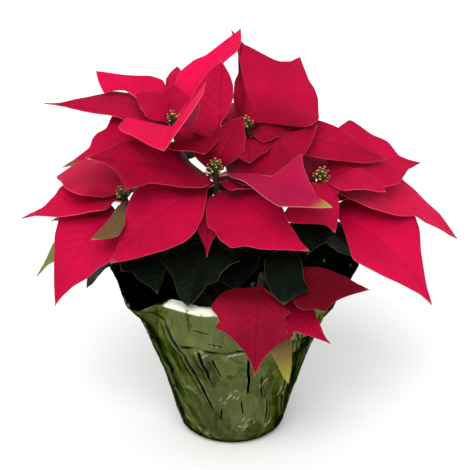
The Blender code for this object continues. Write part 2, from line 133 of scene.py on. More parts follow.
LEAVES = (
    # The whorl in the middle
    Leaf("middle_bract_front_left", "middle", 15, (-115, -88, 218), 76, roll=-20, arch=0.08, belly=0.4,
         tone=0.51, petiole=0.03),
    Leaf("middle_bract_left", "middle", 8, (-138, -60, 314), 66, roll=-36, arch=0.02, belly=0.5,
         tone=0.33, petiole=0.04),
    Leaf("middle_bract_right", "middle", 9, (84, 10, 324), 58, roll=34, arch=-0.04, colour=DARK_RED,
         tone=0.31),
    Leaf("middle_bract_front_right", "middle", 22, (73, -90, 231), 84, roll=24, skew=0.3, belly=0.3,
         arch=0.07, tone=0.5, petiole=0.03),
    Leaf("middle_bract_folded", "middle", 6, (94, -84, 273), 62, roll=30, fold=24, skew=-0.3, belly=0.55,
         colour=FOLDED, tone=0.6, green=0.86),
    Leaf("middle_bract_under", "middle", 24, (-24, -60, 212), 28, arch=0.25, petiole=0.06,
         colour=DARK_RED, tone=0.3, belly=0.32),
    Leaf("middle_bract_back", "middle", 9, (-10, 34, 382), 52, arch=-0.06, tone=0.52, green=0.97),
    # The whorl at the upper left
    Leaf("upper_left_bract_front", "upper_left", 8, (-63, -68, 323), 96, roll=24, fold=29, belly=0.5,
         tone=0.93, skew=-0.15),
    Leaf("upper_left_bract_rear", "upper_left", 12, (-56, 90, 360), 22, belly=0.55, colour=DARK_RED,
         tone=0.6),
    Leaf("upper_left_bract_top_left", "upper_left", 8, (-137, 70, 361), 58, roll=-28, arch=0.03,
         tone=0.76),
    Leaf("upper_left_bract_left", "upper_left", 19, (-185, 25, 341), 54, roll=-12, arch=0.05,
         colour=DARK_RED, tone=0.47),
    Leaf("upper_left_bract_low_left", "upper_left", 26, (-164, -20, 290), 72, roll=-20, arch=0.08,
         tone=0.48, green=0.8),
    Leaf("upper_left_bract_low_right", "upper_left", 24, (-26, -34, 308), 56, arch=0.08, colour=DARK_RED,
         tone=0.3),
    Leaf("upper_left_bract_right", "upper_left", 3, (9, 112, 394), 52, fold=12, arch=0.05, belly=0.5,
         tone=0.9),
    Leaf("upper_left_bract_back", "upper_left", 22, (-80, 112, 322), 64, arch=0.12, tone=0.5),
    # The whorl at the back
    Leaf("back_bract_top_right", "back", 5, (70, 105, 366), 104, roll=26, fold=14, belly=0.45, tone=0.48),
    Leaf("back_bract_top", "back", 13, (-1, 150, 383), 60, skew=0.3, sway=0.08, roll=12, arch=0.04,
         fold=0, tone=0.3),
    Leaf("back_bract_low_right", "back", 12, (154, 14, 286), 54, roll=34, arch=0.05, colour=DARK_RED,
         tone=0.36),
    Leaf("back_bract_right", "back", 25, (78, 115, 283), 74, arch=0.16, tone=0.5),
    Leaf("back_bract_rear", "back", 20, (0, 150, 300), 80, arch=0.14, tone=0.55),
    # The whorl at the left
    Leaf("left_bract_hanging", "left", 13, (-171, -70, 166), 80, roll=-16, arch=0.14, skew=-0.05,
         tone=0.56),
    Leaf("left_bract_tip", "left", 8, (-208, -10, 233), 54, roll=-14, tone=0.7),
    Leaf("left_bract_high", "left", 4, (-177, 34, 261), 54, arch=0.12, colour=DARK_RED, tone=0.72),
    Leaf("left_leaf_brown", "left", 8, (-133, -75, 237), 30, arch=0.12, sway=-0.12, colour=OLIVE,
         tone=0.05, green=0.97),
    Leaf("left_bract_back", "left", 15, (-159, 78, 236), 62, arch=0.14, tone=0.5),
    # The whorl at the right
    Leaf("right_bract_hanging", "right", 32, (195, -60, 162), 84, roll=16, arch=0.12, skew=-0.08,
         tone=0.66),
    Leaf("right_bract_tip", "right", 14, (228, 15, 201), 70, roll=14, tone=0.75, green=0.93),
    Leaf("right_bract_far", "right", 8, (191, 45, 272), 90, roll=28, skew=-0.15, tone=0.55),
    Leaf("right_bract_front", "right", 12, (98, -68, 241), 62, arch=0.2, belly=0.33, tone=0.45),
    Leaf("right_bract_side", "right", 5, (148, -40, 272), 40, roll=10, tone=0.6),
    Leaf("right_bract_back", "right", 13, (119, 98, 262), 64, arch=0.14),
    Leaf("right_bract_back_low", "right", 32, (176, 76, 214), 62, arch=0.14),
    # The low shoot at the front
    Leaf("low_bract_hanging", "low_front", 8, (22, -124, 118), 88, arch=0.2, belly=0.24, petiole=0.04,
         tone=0.2),
    Leaf("low_bract_right", "low_front", 16, (93, -117, 148), 52, arch=0.02, roll=10, petiole=0.3,
         tone=0.38),
    Leaf("low_bract_far_right", "low_front", 3, (130, -95, 194), 56, roll=30, arch=0.06, tone=0.02),
    Leaf("low_bract_olive", "low_front", 20, (54, -106, 100), 32, arch=0.26, petiole=0.36, colour=OLIVE,
         tone=0.25, green=0.45),
    # Green leaves
    Leaf("green_leaf_front_right", "right", 78, (49, -115, 187), 46, roll=10, petiole=0.3, arch=0.2,
         colour=GREEN, tone=0.06),
    Leaf("green_leaf_front_left", "middle", 63, (-42, -92, 175), 74, arch=0.12, petiole=0.2, colour=GREEN,
         tone=0.06),
    Leaf("green_leaf_left_low", "left", 38, (-72, -70, 179), 56, petiole=0.16, colour=GREEN, tone=0.05),
    Leaf("green_leaf_middle", "middle", 74, (4, -62, 178), 56, petiole=0.16, colour=GREEN, tone=0),
    Leaf("green_leaf_right_front", "right", 40, (73, -50, 211), 46, petiole=0.16, colour=GREEN, tone=0.1),
    Leaf("green_leaf_right", "right", 50, (119, -22, 197), 58, arch=0.14, petiole=0.16, colour=GREEN,
         tone=0.1),
    Leaf("green_leaf_left_far", "left", 28, (-183, 16, 220), 50, petiole=0.16, colour=OLIVE, tone=0.5),
    Leaf("green_leaf_left_hanging", "left", 32, (-195, -18, 174), 64, arch=0.14, petiole=0.16,
         colour=OLIVE, tone=0.9),
    Leaf("green_leaf_left_under", "left", 46, (-145, -22, 163), 54, arch=0.14, petiole=0.16, colour=GREEN,
         tone=0.5),
    Leaf("green_leaf_back", "back", 70, (14, 128, 206), 80, arch=0.14, petiole=0.16, colour=GREEN),
    Leaf("green_leaf_back_left", "upper_left", 78, (-95, 95, 214), 76, arch=0.14, petiole=0.16,
         colour=GREEN),
    Leaf("green_leaf_back_right", "back", 82, (96, 88, 208), 74, arch=0.14, petiole=0.16, colour=GREEN),
    Leaf("green_leaf_high_left", "upper_left", 56, (-52, 128, 262), 66, arch=0.12, petiole=0.16,
         colour=GREEN),
    Leaf("green_leaf_high_right", "back", 52, (66, 130, 240), 66, arch=0.12, petiole=0.16, colour=GREEN),
    Leaf("green_leaf_left_back", "left", 58, (-120, 60, 197), 52, arch=0.14, petiole=0.16, colour=GREEN),
)

# Margins measured on the photo, in its pixels from the upper left corner, from each blade's foot to its tip.
# First comes the leaf's left side, then its right. A side that isn't shown well is empty.
MARGINS = {
    "middle_bract_front_left": (
        ((208, 184), (207, 195), (203, 215), (195, 230), (185, 240), (165, 250), (140, 257)),
        ((200, 172), (175, 172), (150, 178), (138, 186), (131, 196), (127, 206), (123, 225), (117, 245)),
    ),
    "middle_bract_left": (
        ((212, 182), (206, 186), (185, 186), (150, 183), (135, 187), (125, 189), (124, 179), (116, 169),
         (105, 162)),
        ((206, 166), (198, 164), (194, 156), (189, 147), (172, 147), (160, 148), (145, 143), (130, 139),
         (117, 143), (105, 150)),
    ),
    "middle_bract_right": (
        ((224, 160), (230, 150), (245, 143), (270, 136), (285, 132), (300, 131)),
        ((235, 184), (252, 186), (268, 187), (284, 180), (298, 164), (310, 145)),
    ),
    "middle_bract_front_right": (
        ((228, 176), (240, 172), (258, 175), (268, 182), (277, 194), (283, 208), (288, 222), (299, 238)),
        ((214, 187), (209, 194), (206, 205), (208, 226), (214, 228), (220, 239), (232, 248), (244, 245),
         (262, 248), (285, 249)),
    ),
    "middle_bract_folded": (
        ((240, 177), (256, 181), (268, 180), (284, 168), (302, 151), (303, 165), (309, 180), (318, 198)),
        ((245, 182), (262, 194), (280, 206), (300, 207), (318, 208)),
    ),
    "middle_bract_back": (
        ((204, 160), (194, 148), (175, 143), (176, 126), (187, 110), (191, 100), (196, 88), (208, 72)),
        ((214, 154), (210, 138), (221, 123), (229, 111), (233, 98), (233, 85), (230, 75), (226, 68)),
    ),
    "upper_left_bract_front": (
        (),
        ((160, 114), (152, 112), (137, 112), (117, 125), (121, 130), (133, 136), (147, 144)),
    ),
    "upper_left_bract_top_left": (
        ((170, 113), (160, 101), (148, 96), (130, 91), (115, 90), (104, 93), (98, 80)),
        ((172, 108), (169, 92), (163, 80), (150, 75), (130, 74), (112, 73)),
    ),
    "upper_left_bract_left": (
        ((160, 134), (140, 126), (112, 115), (85, 110), (60, 106)),
        ((165, 112), (150, 98), (130, 91), (115, 89), (88, 97), (62, 102)),
    ),
    "upper_left_bract_low_left": (
        ((160, 152), (140, 154), (118, 153), (102, 154), (88, 159), (75, 164)),
        ((160, 128), (140, 116), (112, 114), (109, 122), (106, 129), (97, 133), (92, 138), (90, 146),
         (80, 153)),
    ),
    "upper_left_bract_right": (
        ((175, 104), (174, 88), (178, 74), (184, 67), (194, 58), (205, 54), (214, 48), (226, 40)),
        ((192, 108), (203, 94), (210, 80), (214, 71), (226, 60), (237, 52), (241, 42)),
    ),
    "back_bract_top_right": (
        ((243, 116), (246, 98), (243, 78), (239, 56), (240, 42), (248, 44), (260, 51), (278, 60),
         (291, 61)),
        ((262, 130), (285, 131), (305, 128), (318, 119), (318, 97), (315, 88), (309, 80), (304, 68)),
    ),
    "back_bract_top": (
        ((236, 118), (233, 98), (235, 80), (239, 72), (238, 54), (234, 40)),
        ((258, 110), (264, 90), (262, 70), (254, 52), (242, 40)),
    ),
    "back_bract_low_right": (
        ((262, 126), (285, 122), (303, 116), (320, 120), (337, 127), (360, 142), (375, 152)),
        ((270, 146), (295, 152), (320, 158), (345, 160), (368, 163)),
    ),
    "right_bract_hanging": (
        ((338, 200), (360, 190), (385, 190), (402, 198), (412, 205), (416, 216), (420, 230), (421, 250),
         (425, 270), (429, 290)),
        ((337, 213), (342, 222), (347, 237), (353, 259), (361, 264), (380, 273), (400, 282), (420, 294)),
    ),
    "right_bract_tip": (
        ((345, 178), (372, 170), (398, 173), (404, 179), (415, 187), (430, 203), (440, 213), (449, 227)),
        ((345, 196), (370, 208), (398, 214), (417, 215), (425, 222), (445, 232)),
    ),
    "right_bract_far": (
        ((327, 160), (330, 140), (338, 126), (350, 117), (361, 125), (372, 134), (383, 139), (391, 144),
         (389, 152), (402, 157)),
        ((345, 184), (372, 188), (398, 184), (404, 176), (409, 168)),
    ),
    "right_bract_front": (
        ((335, 188), (339, 200), (339, 214), (337, 225)),
        ((306, 188), (292, 200), (284, 213), (290, 224), (301, 220), (316, 221), (328, 226)),
    ),
    "left_bract_hanging": (
        ((122, 206), (124, 225), (122, 245), (113, 258), (109, 262), (98, 268), (88, 277), (72, 286),
         (62, 296)),
        ((105, 208), (80, 210), (60, 214), (57, 225), (54, 235), (53, 260), (54, 282)),
    ),
    "left_bract_tip": (
        ((108, 208), (80, 214), (60, 215), (35, 216)),
        ((112, 194), (95, 180), (75, 176), (59, 187), (56, 194), (45, 206), (30, 215)),
    ),
    "left_bract_high": (
        ((105, 198), (82, 194), (65, 186)),
        ((121, 188), (124, 163), (108, 150), (90, 152), (76, 160), (71, 171), (61, 179)),
    ),
    "left_leaf_brown": (
        ((127, 206), (125, 222), (118, 236), (106, 239)),
        ((122, 201), (114, 211), (107, 220), (101, 230)),
    ),
    "low_bract_hanging": (
        ((263, 288), (272, 297), (283, 305), (292, 312), (284, 317), (288, 326), (295, 336), (284, 340),
         (271, 350), (261, 362)),
        ((250, 293), (240, 288), (230, 289), (219, 295), (210, 307), (217, 315), (220, 322), (213, 328),
         (223, 331), (232, 338), (243, 350), (250, 361)),
    ),
    "low_bract_right": (
        ((286, 300), (300, 303), (315, 309), (317, 318), (323, 331)),
        ((281, 318), (287, 334), (296, 331), (312, 335)),
    ),
    "low_bract_far_right": (
        ((292, 280), (303, 267), (325, 268), (345, 275), (358, 284)),
        ((290, 290), (296, 306), (304, 309), (314, 307), (327, 311), (331, 303), (345, 297), (357, 293)),
    ),
    "low_bract_olive": (
        ((290, 332), (293, 345), (292, 360), (290, 373)),
        ((277, 334), (269, 345), (274, 358), (281, 372)),
    ),
    "green_leaf_front_right": (
        ((295, 249), (301, 258), (303, 269), (304, 280), (310, 290), (298, 293), (291, 299)),
        ((275, 250), (264, 260), (264, 270), (266, 280), (271, 292), (278, 300)),
    ),
    "green_leaf_front_left": (
        ((218, 243), (233, 250), (241, 261), (231, 264), (220, 273), (217, 281), (206, 284), (203, 291),
         (196, 300)),
        ((198, 243), (172, 247), (158, 257), (165, 266), (171, 273), (175, 283), (177, 292), (182, 301)),
    ),
    "green_leaf_left_low": (
        ((152, 238), (168, 246), (172, 258), (165, 268), (163, 280)),
        ((135, 239), (119, 254), (121, 272), (133, 271), (138, 279), (149, 285)),
    ),
}

# Small bracts and one green leaf near the flowers, which the frame leaves out. Most are painted dark, as
# painted shade in the middle of the plant.
INNER_LEAVES = (
    Leaf("upper_left_inner_back", "upper_left", 3, (-58, 42, 357), 36, arch=-0.04, petiole=0.04,
         colour=DARK_RED),
    Leaf("upper_left_inner_left", "upper_left", 4, (-96, 28, 350), 40, roll=-20, petiole=0.04,
         colour=DARK_RED),
    Leaf("middle_inner_back", "middle", 4, (12, 18, 330), 36, roll=20, petiole=0.04, colour=DARK_RED,
         tone=0.25),
    Leaf("middle_inner_left", "middle", 4, (-38, 8, 318), 32, petiole=0.04, colour=DARK_RED, tone=0.1),
    Leaf("middle_inner_low_back", "middle", 28, (30, 46, 250), 50, petiole=0.06, colour=DARK_RED,
         tone=0.1),
    Leaf("back_inner_front", "back", 12, (17, -20, 294), 46, arch=0.08, petiole=0.04, colour=DARK_RED,
         tone=0.25),
    Leaf("right_inner_left", "right", 8, (50, 6, 286), 44, arch=0.06, petiole=0.04, colour=DARK_RED,
         tone=0.2),
    Leaf("right_inner_front", "right", 5, (89, -46, 261), 36, arch=0.16, petiole=0.04, tone=0.5),
    Leaf("middle_inner_low_right", "middle", 13, (36, -32, 273), 42, roll=10, petiole=0.04,
         colour=DARK_RED, tone=0.32),
    Leaf("middle_inner_low_left", "middle", 34, (-66, 36, 250), 46, petiole=0.1, colour=GREEN, tone=0.1),
    Leaf("back_inner_right", "back", 9, (60, 16, 312), 40, roll=20, petiole=0.04, colour=DARK_RED,
         tone=0.25),
)


# Shader maths

class Wire:
    """Wraps a node's output, so that arithmetic on wires adds Math nodes to the same material."""

    def __init__(self, tree, socket=None):
        self.tree = tree
        self.socket = socket

    def node(self, kind, settings=None, inputs=None, output=0):
        """Adds a node: its settings first, then the values or wires of its inputs. Returns one output."""
        made = self.tree.nodes.new(kind)
        for name, value in (settings or {}).items():
            setattr(made, name, value)
        for name, value in (inputs or {}).items():
            if isinstance(value, Wire):
                self.tree.links.new(value.socket, made.inputs[name])
            else:
                made.inputs[name].default_value = value
        return Wire(self.tree, made.outputs[output])

    def link(self, socket):
        self.tree.links.new(self.socket, socket)

    def maths(self, operation, *values):
        return self.node("ShaderNodeMath", {"operation": operation}, dict(enumerate(values)))

    def vector_maths(self, operation, other):
        return self.node("ShaderNodeVectorMath", {"operation": operation}, {0: self, 1: other})

    def __add__(self, other):
        return self.maths("ADD", self, other)

    def __sub__(self, other):
        return self.maths("SUBTRACT", self, other)

    def __rsub__(self, other):
        return self.maths("SUBTRACT", other, self)

    def __mul__(self, other):
        return self.maths("MULTIPLY", self, other)

    __radd__ = __add__
    __rmul__ = __mul__

    def size(self):
        return self.maths("ABSOLUTE", self)

    def part(self, index):
        """One of the three numbers in a vector or a colour."""
        return self.node("ShaderNodeSeparateXYZ", None, {"Vector": self}, index)

    def step(self, low, high):
        """0 below low and 1 above high, or the other way round where high is the smaller."""
        ends = (low, high, 0.0, 1.0) if low < high else (high, low, 1.0, 0.0)
        inputs = dict(zip(("From Min", "From Max", "To Min", "To Max"), ends), Value=self)
        return self.node("ShaderNodeMapRange", {"interpolation_type": "SMOOTHSTEP"}, inputs)

    def mix(self, first, second):
        """The first colour where this wire is 0 and the second where it is 1."""
        inputs = {0: self, MIX_FIRST: as_colour(first), MIX_SECOND: as_colour(second)}
        return self.node("ShaderNodeMix", {"data_type": "RGBA"}, inputs, MIX_RESULT)

    def attribute(self, name):
        """A number that the mesh holds at each of its points."""
        return self.node("ShaderNodeAttribute", {"attribute_name": name}, output="Fac")

    def object_place(self):
        """Where on the piece, in metres."""
        return self.node("ShaderNodeTexCoord", output="Object")

    def noise(self, scale, detail=3.0, roughness=0.5):
        """Smooth noise from 0 to 1 at this place."""
        inputs = {"Vector": self, "Scale": scale, "Detail": detail, "Roughness": roughness}
        return self.node("ShaderNodeTexNoise", None, inputs)

    def facets(self, scale):
        """One chance value from 0 to 1 for each flat facet round this place."""
        return self.node("ShaderNodeTexVoronoi", None, {"Vector": self, "Scale": scale}, "Color").part(0)


# A Mix node's two colours and its result, by number, because its other sockets have the same names.
MIX_FIRST, MIX_SECOND, MIX_RESULT = 6, 7, 2


def as_colour(value):
    """A wire as it is, or a colour with the fourth number that a socket takes."""
    return value if isinstance(value, Wire) else (*value[:3], 1)


def scaled(colour, share, lift=0):
    """Each number of a colour or a size times share, plus lift."""
    return tuple(share * part + lift for part in colour)


def new_material(name, fixed=None):
    """(material, its shader's sockets, a bare wire to start from). Fixed values are the same all over."""
    made = bpy.data.materials.new(name)
    made.use_nodes = True
    sockets = made.node_tree.nodes["Principled BSDF"].inputs
    for socket, value in (fixed or {}).items():
        sockets[socket].default_value = value
    return made, sockets, Wire(made.node_tree)


def paint(sockets, colour, roughness, height, depth, strength=1.0):
    """Links a surface's colour, its roughness, and the height of its bumps, which are depth metres deep."""
    colour.link(sockets["Base Color"])
    roughness.link(sockets["Roughness"])
    bumps = {"Height": height, "Distance": depth, "Strength": strength}
    height.node("ShaderNodeBump", None, bumps).link(sockets["Normal"])


# Materials

# Where the veins of a blade show, as steps between two distances from their lines. The side veins' reach
# and the midrib's are in shares of the blade's length.
SIDE_VEIN, SIDE_VEIN_REACH = (0.42, 0.5), (0.42, 0.1)
RIB, NET_VEIN, NET_SCALE = (0.014, 0.004), (0.07, 0.0), 46.0

# The painted highlight along a blade's margin, as a step in millimetres from its edge.
EDGE_HIGHLIGHT = (0.5, 0.15)

# Facets are taller than wide, and noise bends their edges.
FACET_STRETCH, FACET_BEND = (1.0, 1.0, 0.4), (0.012, 0.012, 0.012)
FOIL_TINT = (0.15, 0.18, 0.1, 1)
# Painted glints on the foil and on its inner side.
FOIL_GLINT, INSIDE_GLINT = (0.36, 0.42, 0.24), (0.16, 0.19, 0.12)
# The folded lip's painted shade and painted light.
LIP_SHADE, LIP_LIGHT = (0.3, 0.36, 0.2), (0.86, 0.92, 0.74)


class Blade(NamedTuple):
    """The colours of one kind of bract or leaf: its face where lightest and darkest as painted light and
    shade, the painted highlight along its margin, and its tip.
    """

    face: tuple
    deep: tuple
    margin: tuple
    tip: tuple
    roughness: float = 0.55
    gloss: float = 0.04
    vein: float = -0.1


def blade_material(name, blade):
    """A leaf's skin: midrib, side veins and a net of veins on its own UV map, and a thin painted highlight
    along its margin.
    """
    made, sockets, start = new_material(name, {"Specular IOR Level": blade.gloss})
    place = start.node("ShaderNodeUVMap", {"uv_map": "blade"})
    aside, along = (place.part(0) - 0.5).size(), place.part(1)
    here = start.object_place()
    cloud, speckle = here.noise(28.0), here.noise(420.0)
    phase = (along - aside * VEIN_SLOPE - aside * aside * VEIN_CURVE) * VEIN_COUNT + cloud * 0.5
    side_vein = (phase.maths("FRACT", phase) - 0.5).size().step(*SIDE_VEIN) * aside.step(*SIDE_VEIN_REACH)
    cells = {"Vector": place, "Scale": NET_SCALE}
    net = start.node("ShaderNodeTexVoronoi", {"feature": "DISTANCE_TO_EDGE"}, cells).step(*NET_VEIN)
    veins = start.maths("MAXIMUM", side_vein * 0.5, aside.step(*RIB))
    # Painted light and shade from the leaf's tone, with random variation of its own colour.
    tone = start.attribute("tone") + (cloud - 0.5) * 0.5 - speckle.step(0.5, 0.8) * 0.06
    tone = tone + (net * 0.2 + veins) * blade.vein
    colour = start.attribute("green").mix(tone.mix(blade.deep, blade.face), blade.tip)
    # Painted highlight along the margin, brighter on leaves painted lighter.
    margin = start.attribute("rim").step(*EDGE_HIGHLIGHT) * (tone * 0.6 + 0.3)
    relief = side_vein * -0.6 + net * -0.25 + speckle * 0.25
    paint(sockets, margin.mix(colour, blade.margin), cloud * 0.12 + (blade.roughness - 0.06), relief, 0.0004)
    return made


def foil_material(settings):
    """Green metallised foil: facets painted lighter and darker as painted reflection, painted shade in its
    folds, and painted glints on its ridges.
    """
    made, sockets, start = new_material("green_foil", {"Specular Tint": FOIL_TINT})
    face = settings.foil_colour
    place = start.object_place()
    shift = start.node("ShaderNodeTexNoise", None, {"Vector": place, "Scale": 45.0, "Detail": 2.0}, "Color")
    bent = place.vector_maths("MULTIPLY", FACET_STRETCH)
    bent = bent.vector_maths("ADD", shift.vector_maths("MULTIPLY", FACET_BEND))
    cloud, broad, small = place.noise(30.0), bent.facets(75.0), bent.facets(190.0)
    fold, lip, cuff, glint = (start.attribute(name) for name in ("fold", "lip", "cuff", "glint"))
    # Each facet painted lighter or darker as painted reflection, the cuff a little lighter.
    light = cloud * 0.6 + broad * 0.6 + small * 0.35 - 0.25 + cuff * 0.02
    colour = light.mix(scaled(face, 0.38, 0.004), scaled(face, 1.4))
    # Painted glints on some ridges.
    colour = (glint * place.noise(160.0).step(0.36, 0.56)).mix(colour, FOIL_GLINT)
    # Painted shade in the folds, under the cuff and on the flanks.
    colour = fold.mix(colour, scaled(face, 0.03))
    # The folded lip painted pale and not metallic, as a painted reflection of the light.
    colour = lip.mix(colour, (broad * 0.5 + small * 0.5).step(0.1, 0.55).mix(LIP_SHADE, LIP_LIGHT))
    (1 - lip).link(sockets["Metallic"])
    paint(sockets, colour, cloud * 0.2 + 0.12, broad * 0.6 + small * 0.4, 0.0009, 0.55)
    return made


def foil_inside_material(settings):
    """The foil's inner side, painted near black as painted shade, with painted glints on a few facets."""
    made, sockets, start = new_material("foil_inside", {"Metallic": 1.0, "Specular Tint": FOIL_TINT})
    place = start.object_place()
    cloud = place.noise(30.0)
    # Painted shade: the foil's colour darkened to near black.
    dark = scaled(settings.foil_colour, 0.06)
    glint = place.facets(230.0).step(0.9, 0.96) * place.noise(40.0).step(0.5, 0.62)
    colour = glint.mix(cloud.mix(dark, scaled(dark, 0.4)), INSIDE_GLINT)
    paint(sockets, colour, cloud * 0.2 + 0.15, place.facets(110.0), 0.0008)
    return made


def soil_material():
    """Moist peat and bark."""
    made, sockets, start = new_material("potting_mix")
    cloud = start.object_place().noise(260.0, detail=6.0, roughness=0.7)
    colour = cloud.step(0.3, 0.75).mix((0.012, 0.008, 0.005), (0.07, 0.042, 0.022))
    paint(sockets, colour, cloud * -0.2 + 0.98, cloud, 0.002)
    return made


def plastic_material():
    """Black moulded plastic with a fine grain."""
    made, sockets, start = new_material("pot_plastic")
    grain = start.object_place().noise(700.0)
    colour = grain.mix((0.016, 0.016, 0.016), (0.035, 0.034, 0.033))
    paint(sockets, colour, grain * 0.2 + 0.4, grain, 0.0002)
    return made


def bark_material():
    """Green bark painted near black as painted shade, browner low down, with pale breathing spots."""
    made, sockets, start = new_material("stem_bark", {"Specular IOR Level": 0.15})
    place = start.object_place()
    cloud, spots = place.noise(90.0), place.noise(420.0).step(0.62, 0.7)
    green = cloud.mix((0.005, 0.009, 0.003), (0.016, 0.022, 0.009))
    colour = (place.part(2) + cloud * 0.06).step(0.2, 0.12).mix(green, (0.07, 0.045, 0.025))
    colour = (spots * 0.3).mix(colour, (0.3, 0.26, 0.16))
    paint(sockets, colour, cloud * 0.2 + 0.5, cloud + spots, 0.0005)
    return made


def grain_material(name, first, second, roughness, scale):
    """The finish of a flower's part: two near colours in fine grains."""
    made, sockets, start = new_material(name)
    grain = start.object_place().noise(scale)
    colour = grain.step(0.35, 0.65).mix(first, second)
    paint(sockets, colour, grain * 0.2 + (roughness - 0.1), grain, 0.0002)
    return made


# Curves and mesh helpers

def smooth_step(value):
    value = min(max(value, 0), 1)
    return value * value * (3 - 2 * value)


def ramp(value, start, run):
    """0 up to start and 1 from start + run on, smooth in between. A negative run rises to the other side."""
    return smooth_step((value - start) / run)


def bell(value, middle, spread):
    """1 at the middle, falling smoothly to 0 on both sides."""
    return math.exp(-(((value - middle) / spread) ** 2))


def curve_at(points, where):
    """A place on a smooth curve through points, where is counted in points."""
    low = min(max(int(where), 0), len(points) - 2)
    t = where - low
    before, first = Vector(points[max(low - 1, 0)]), Vector(points[low])
    second, after = Vector(points[low + 1]), Vector(points[min(low + 2, len(points) - 1)])
    leave, arrive = (second - before) / 2, (after - first) / 2
    return (
        first * (2 * t ** 3 - 3 * t ** 2 + 1) + leave * (t ** 3 - 2 * t ** 2 + t)
        + second * (3 * t ** 2 - 2 * t ** 3) + arrive * (t ** 3 - t ** 2)
    )


def path_length(points):
    """How long the straight way from point to point is."""
    return sum((Vector(b) - Vector(a)).length for a, b in zip(points, points[1:]))


def facing(spot, direction):
    """The matrix that takes an upright shape to a spot and points it along direction."""
    return Matrix.Translation(spot) @ direction.to_track_quat("Z", "Y").to_matrix().to_4x4()


def spun(places, steps):
    """A bmesh of a line through places, spun all round the upright axis."""
    builder = bmesh.new()
    line = [builder.verts.new(place) for place in places]
    edges = [builder.edges.new(pair) for pair in zip(line, line[1:])]
    bmesh.ops.spin(builder, geom=line + edges, axis=UP, cent=(0, 0, 0), angle=2 * math.pi, steps=steps,
                   use_merge=True)
    return builder


def close_seams(builder, distance):
    """Merges doubles and turns every face outwards."""
    bmesh.ops.remove_doubles(builder, verts=builder.verts, dist=distance)
    bmesh.ops.recalc_face_normals(builder, faces=builder.faces)


def add_piece(name, builder, materials, replaced=(), rides=True):
    """Turns a bmesh in millimetres into a smooth shaded object in metres that rides on the plant."""
    bmesh.ops.scale(builder, vec=(MM, MM, MM), verts=builder.verts)
    mesh = bpy.data.meshes.new(name)
    builder.to_mesh(mesh)
    builder.free()
    mesh.shade_smooth()
    for finish in materials:
        mesh.materials.append(finish)
    obj = bpy.data.objects.new(name, mesh)
    bpy.context.scene.collection.objects.link(obj)
    if rides:
        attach(obj, BODY)
        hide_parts(*replaced)
    return obj


def thicken(obj, thickness, offset):
    """Gives a sheet its thickness. Its other side has the next material."""
    skin = obj.modifiers.new("thickness", "SOLIDIFY")
    skin.thickness = thickness * MM
    skin.offset = offset
    skin.material_offset = 1
    return skin


# Bracts and leaves

def branch_radius(share):
    """A branch's radius at a share of the way from its foot to its top."""
    return BRANCH_FOOT_RADIUS + (BRANCH_TIP_RADIUS - BRANCH_FOOT_RADIUS) * share


def branch_place(name, drop):
    """(place on the branch's axis, direction of the branch, radius) at a distance below its top."""
    points = [Vector(point) for point in BRANCHES[name]]
    left = drop
    for low, high in reversed(list(zip(points, points[1:]))):
        length = (high - low).length
        if left <= length:
            break
        left -= length
    direction = (high - low).normalized()
    return high - direction * left, direction, branch_radius(1 - drop / path_length(points))


class Course(NamedTuple):
    """Where a leaf runs: its foot, the chord to its tip, and the directions above and to the right of it."""

    foot: Vector
    chord: Vector
    normal: Vector
    side: Vector


def spine(leaf, course, along):
    """A place on the midrib and the direction of the midrib there."""
    bow = (course.normal * leaf.arch + course.side * leaf.sway) * (4 * course.chord.length)
    place = course.foot + course.chord * along + bow * (along * (1 - along))
    return place, (course.chord + bow * (1 - 2 * along)).normalized()


def leaf_course(leaf):
    """The course that sets the leaf's foot in the skin of its branch."""
    on_axis, direction, radius = branch_place(leaf.branch, leaf.drop)
    foot = on_axis
    for _ in range(3):
        chord = Vector(leaf.tip) - foot
        normal = (UP - chord * UP.dot(chord) / chord.length_squared).normalized()
        course = Course(foot, chord, normal, chord.normalized().cross(normal))
        start = spine(leaf, course, 0)[1]
        outward = (start - direction * start.dot(direction)).normalized()
        foot = on_axis + outward * (radius - FOOT_DEPTH)
    return course._replace(foot=foot, chord=Vector(leaf.tip) - foot)


def flat_place(leaf, course, along, side, aside):
    """(place, direction above it) on a leaf without its waves and veins, aside from its midrib."""
    place, tangent = spine(leaf, course, along)
    blade = (along - leaf.petiole) / (1 - leaf.petiole)
    turned = Matrix.Rotation(math.radians(leaf.roll * ramp(blade, 0, ROLL_SHARE)), 3, tangent)
    right = (turned @ course.side).normalized()
    above = right.cross(tangent)
    rise = math.radians(leaf.fold) * ramp(blade, 0, FOLD_SHARE)
    return place + (right * (side * math.cos(rise)) + above * math.sin(rise)) * aside, above


def outline(along, belly):
    """Half the width of a blade, as a share of its greatest, from its foot at 0 to its tip at 1."""
    if not 0 < along < 1:
        return 0
    return (along / belly) ** (2 * belly) * ((1 - along) / (1 - belly)) ** (2 - 2 * belly)


def tooth_height(distance):
    """A tooth's outline, 1 at its point: it rises slowly from behind and falls steeply in front."""
    if distance < 0:
        return max(1 + distance / TOOTH_BACK, 0) ** TOOTH_BACK_CURVE
    return max(1 - distance / TOOTH_FRONT, 0) ** TOOTH_FRONT_CURVE


def grown_half_width(leaf, blade, side, seed):
    """From the midrib to the margin of a leaf that the photo doesn't show well, with a lobe or two."""
    half = outline(blade, leaf.belly) * leaf.width / 2 * (1 + leaf.skew * side)
    half *= 1 - TIP_HOLLOW * ramp(blade, TIP_HOLLOW_START, 1 - TIP_HOLLOW_START) * (1 - blade)
    first = FIRST_TOOTH + TOOTH_STEP * ((seed * 3 + side) % 5)
    size = leaf.width / 2 * TOOTH_SIZE
    second = SECOND_TOOTH * size * tooth_height(blade - first - TOOTH_GAP)
    return half + size * tooth_height(blade - first) + second


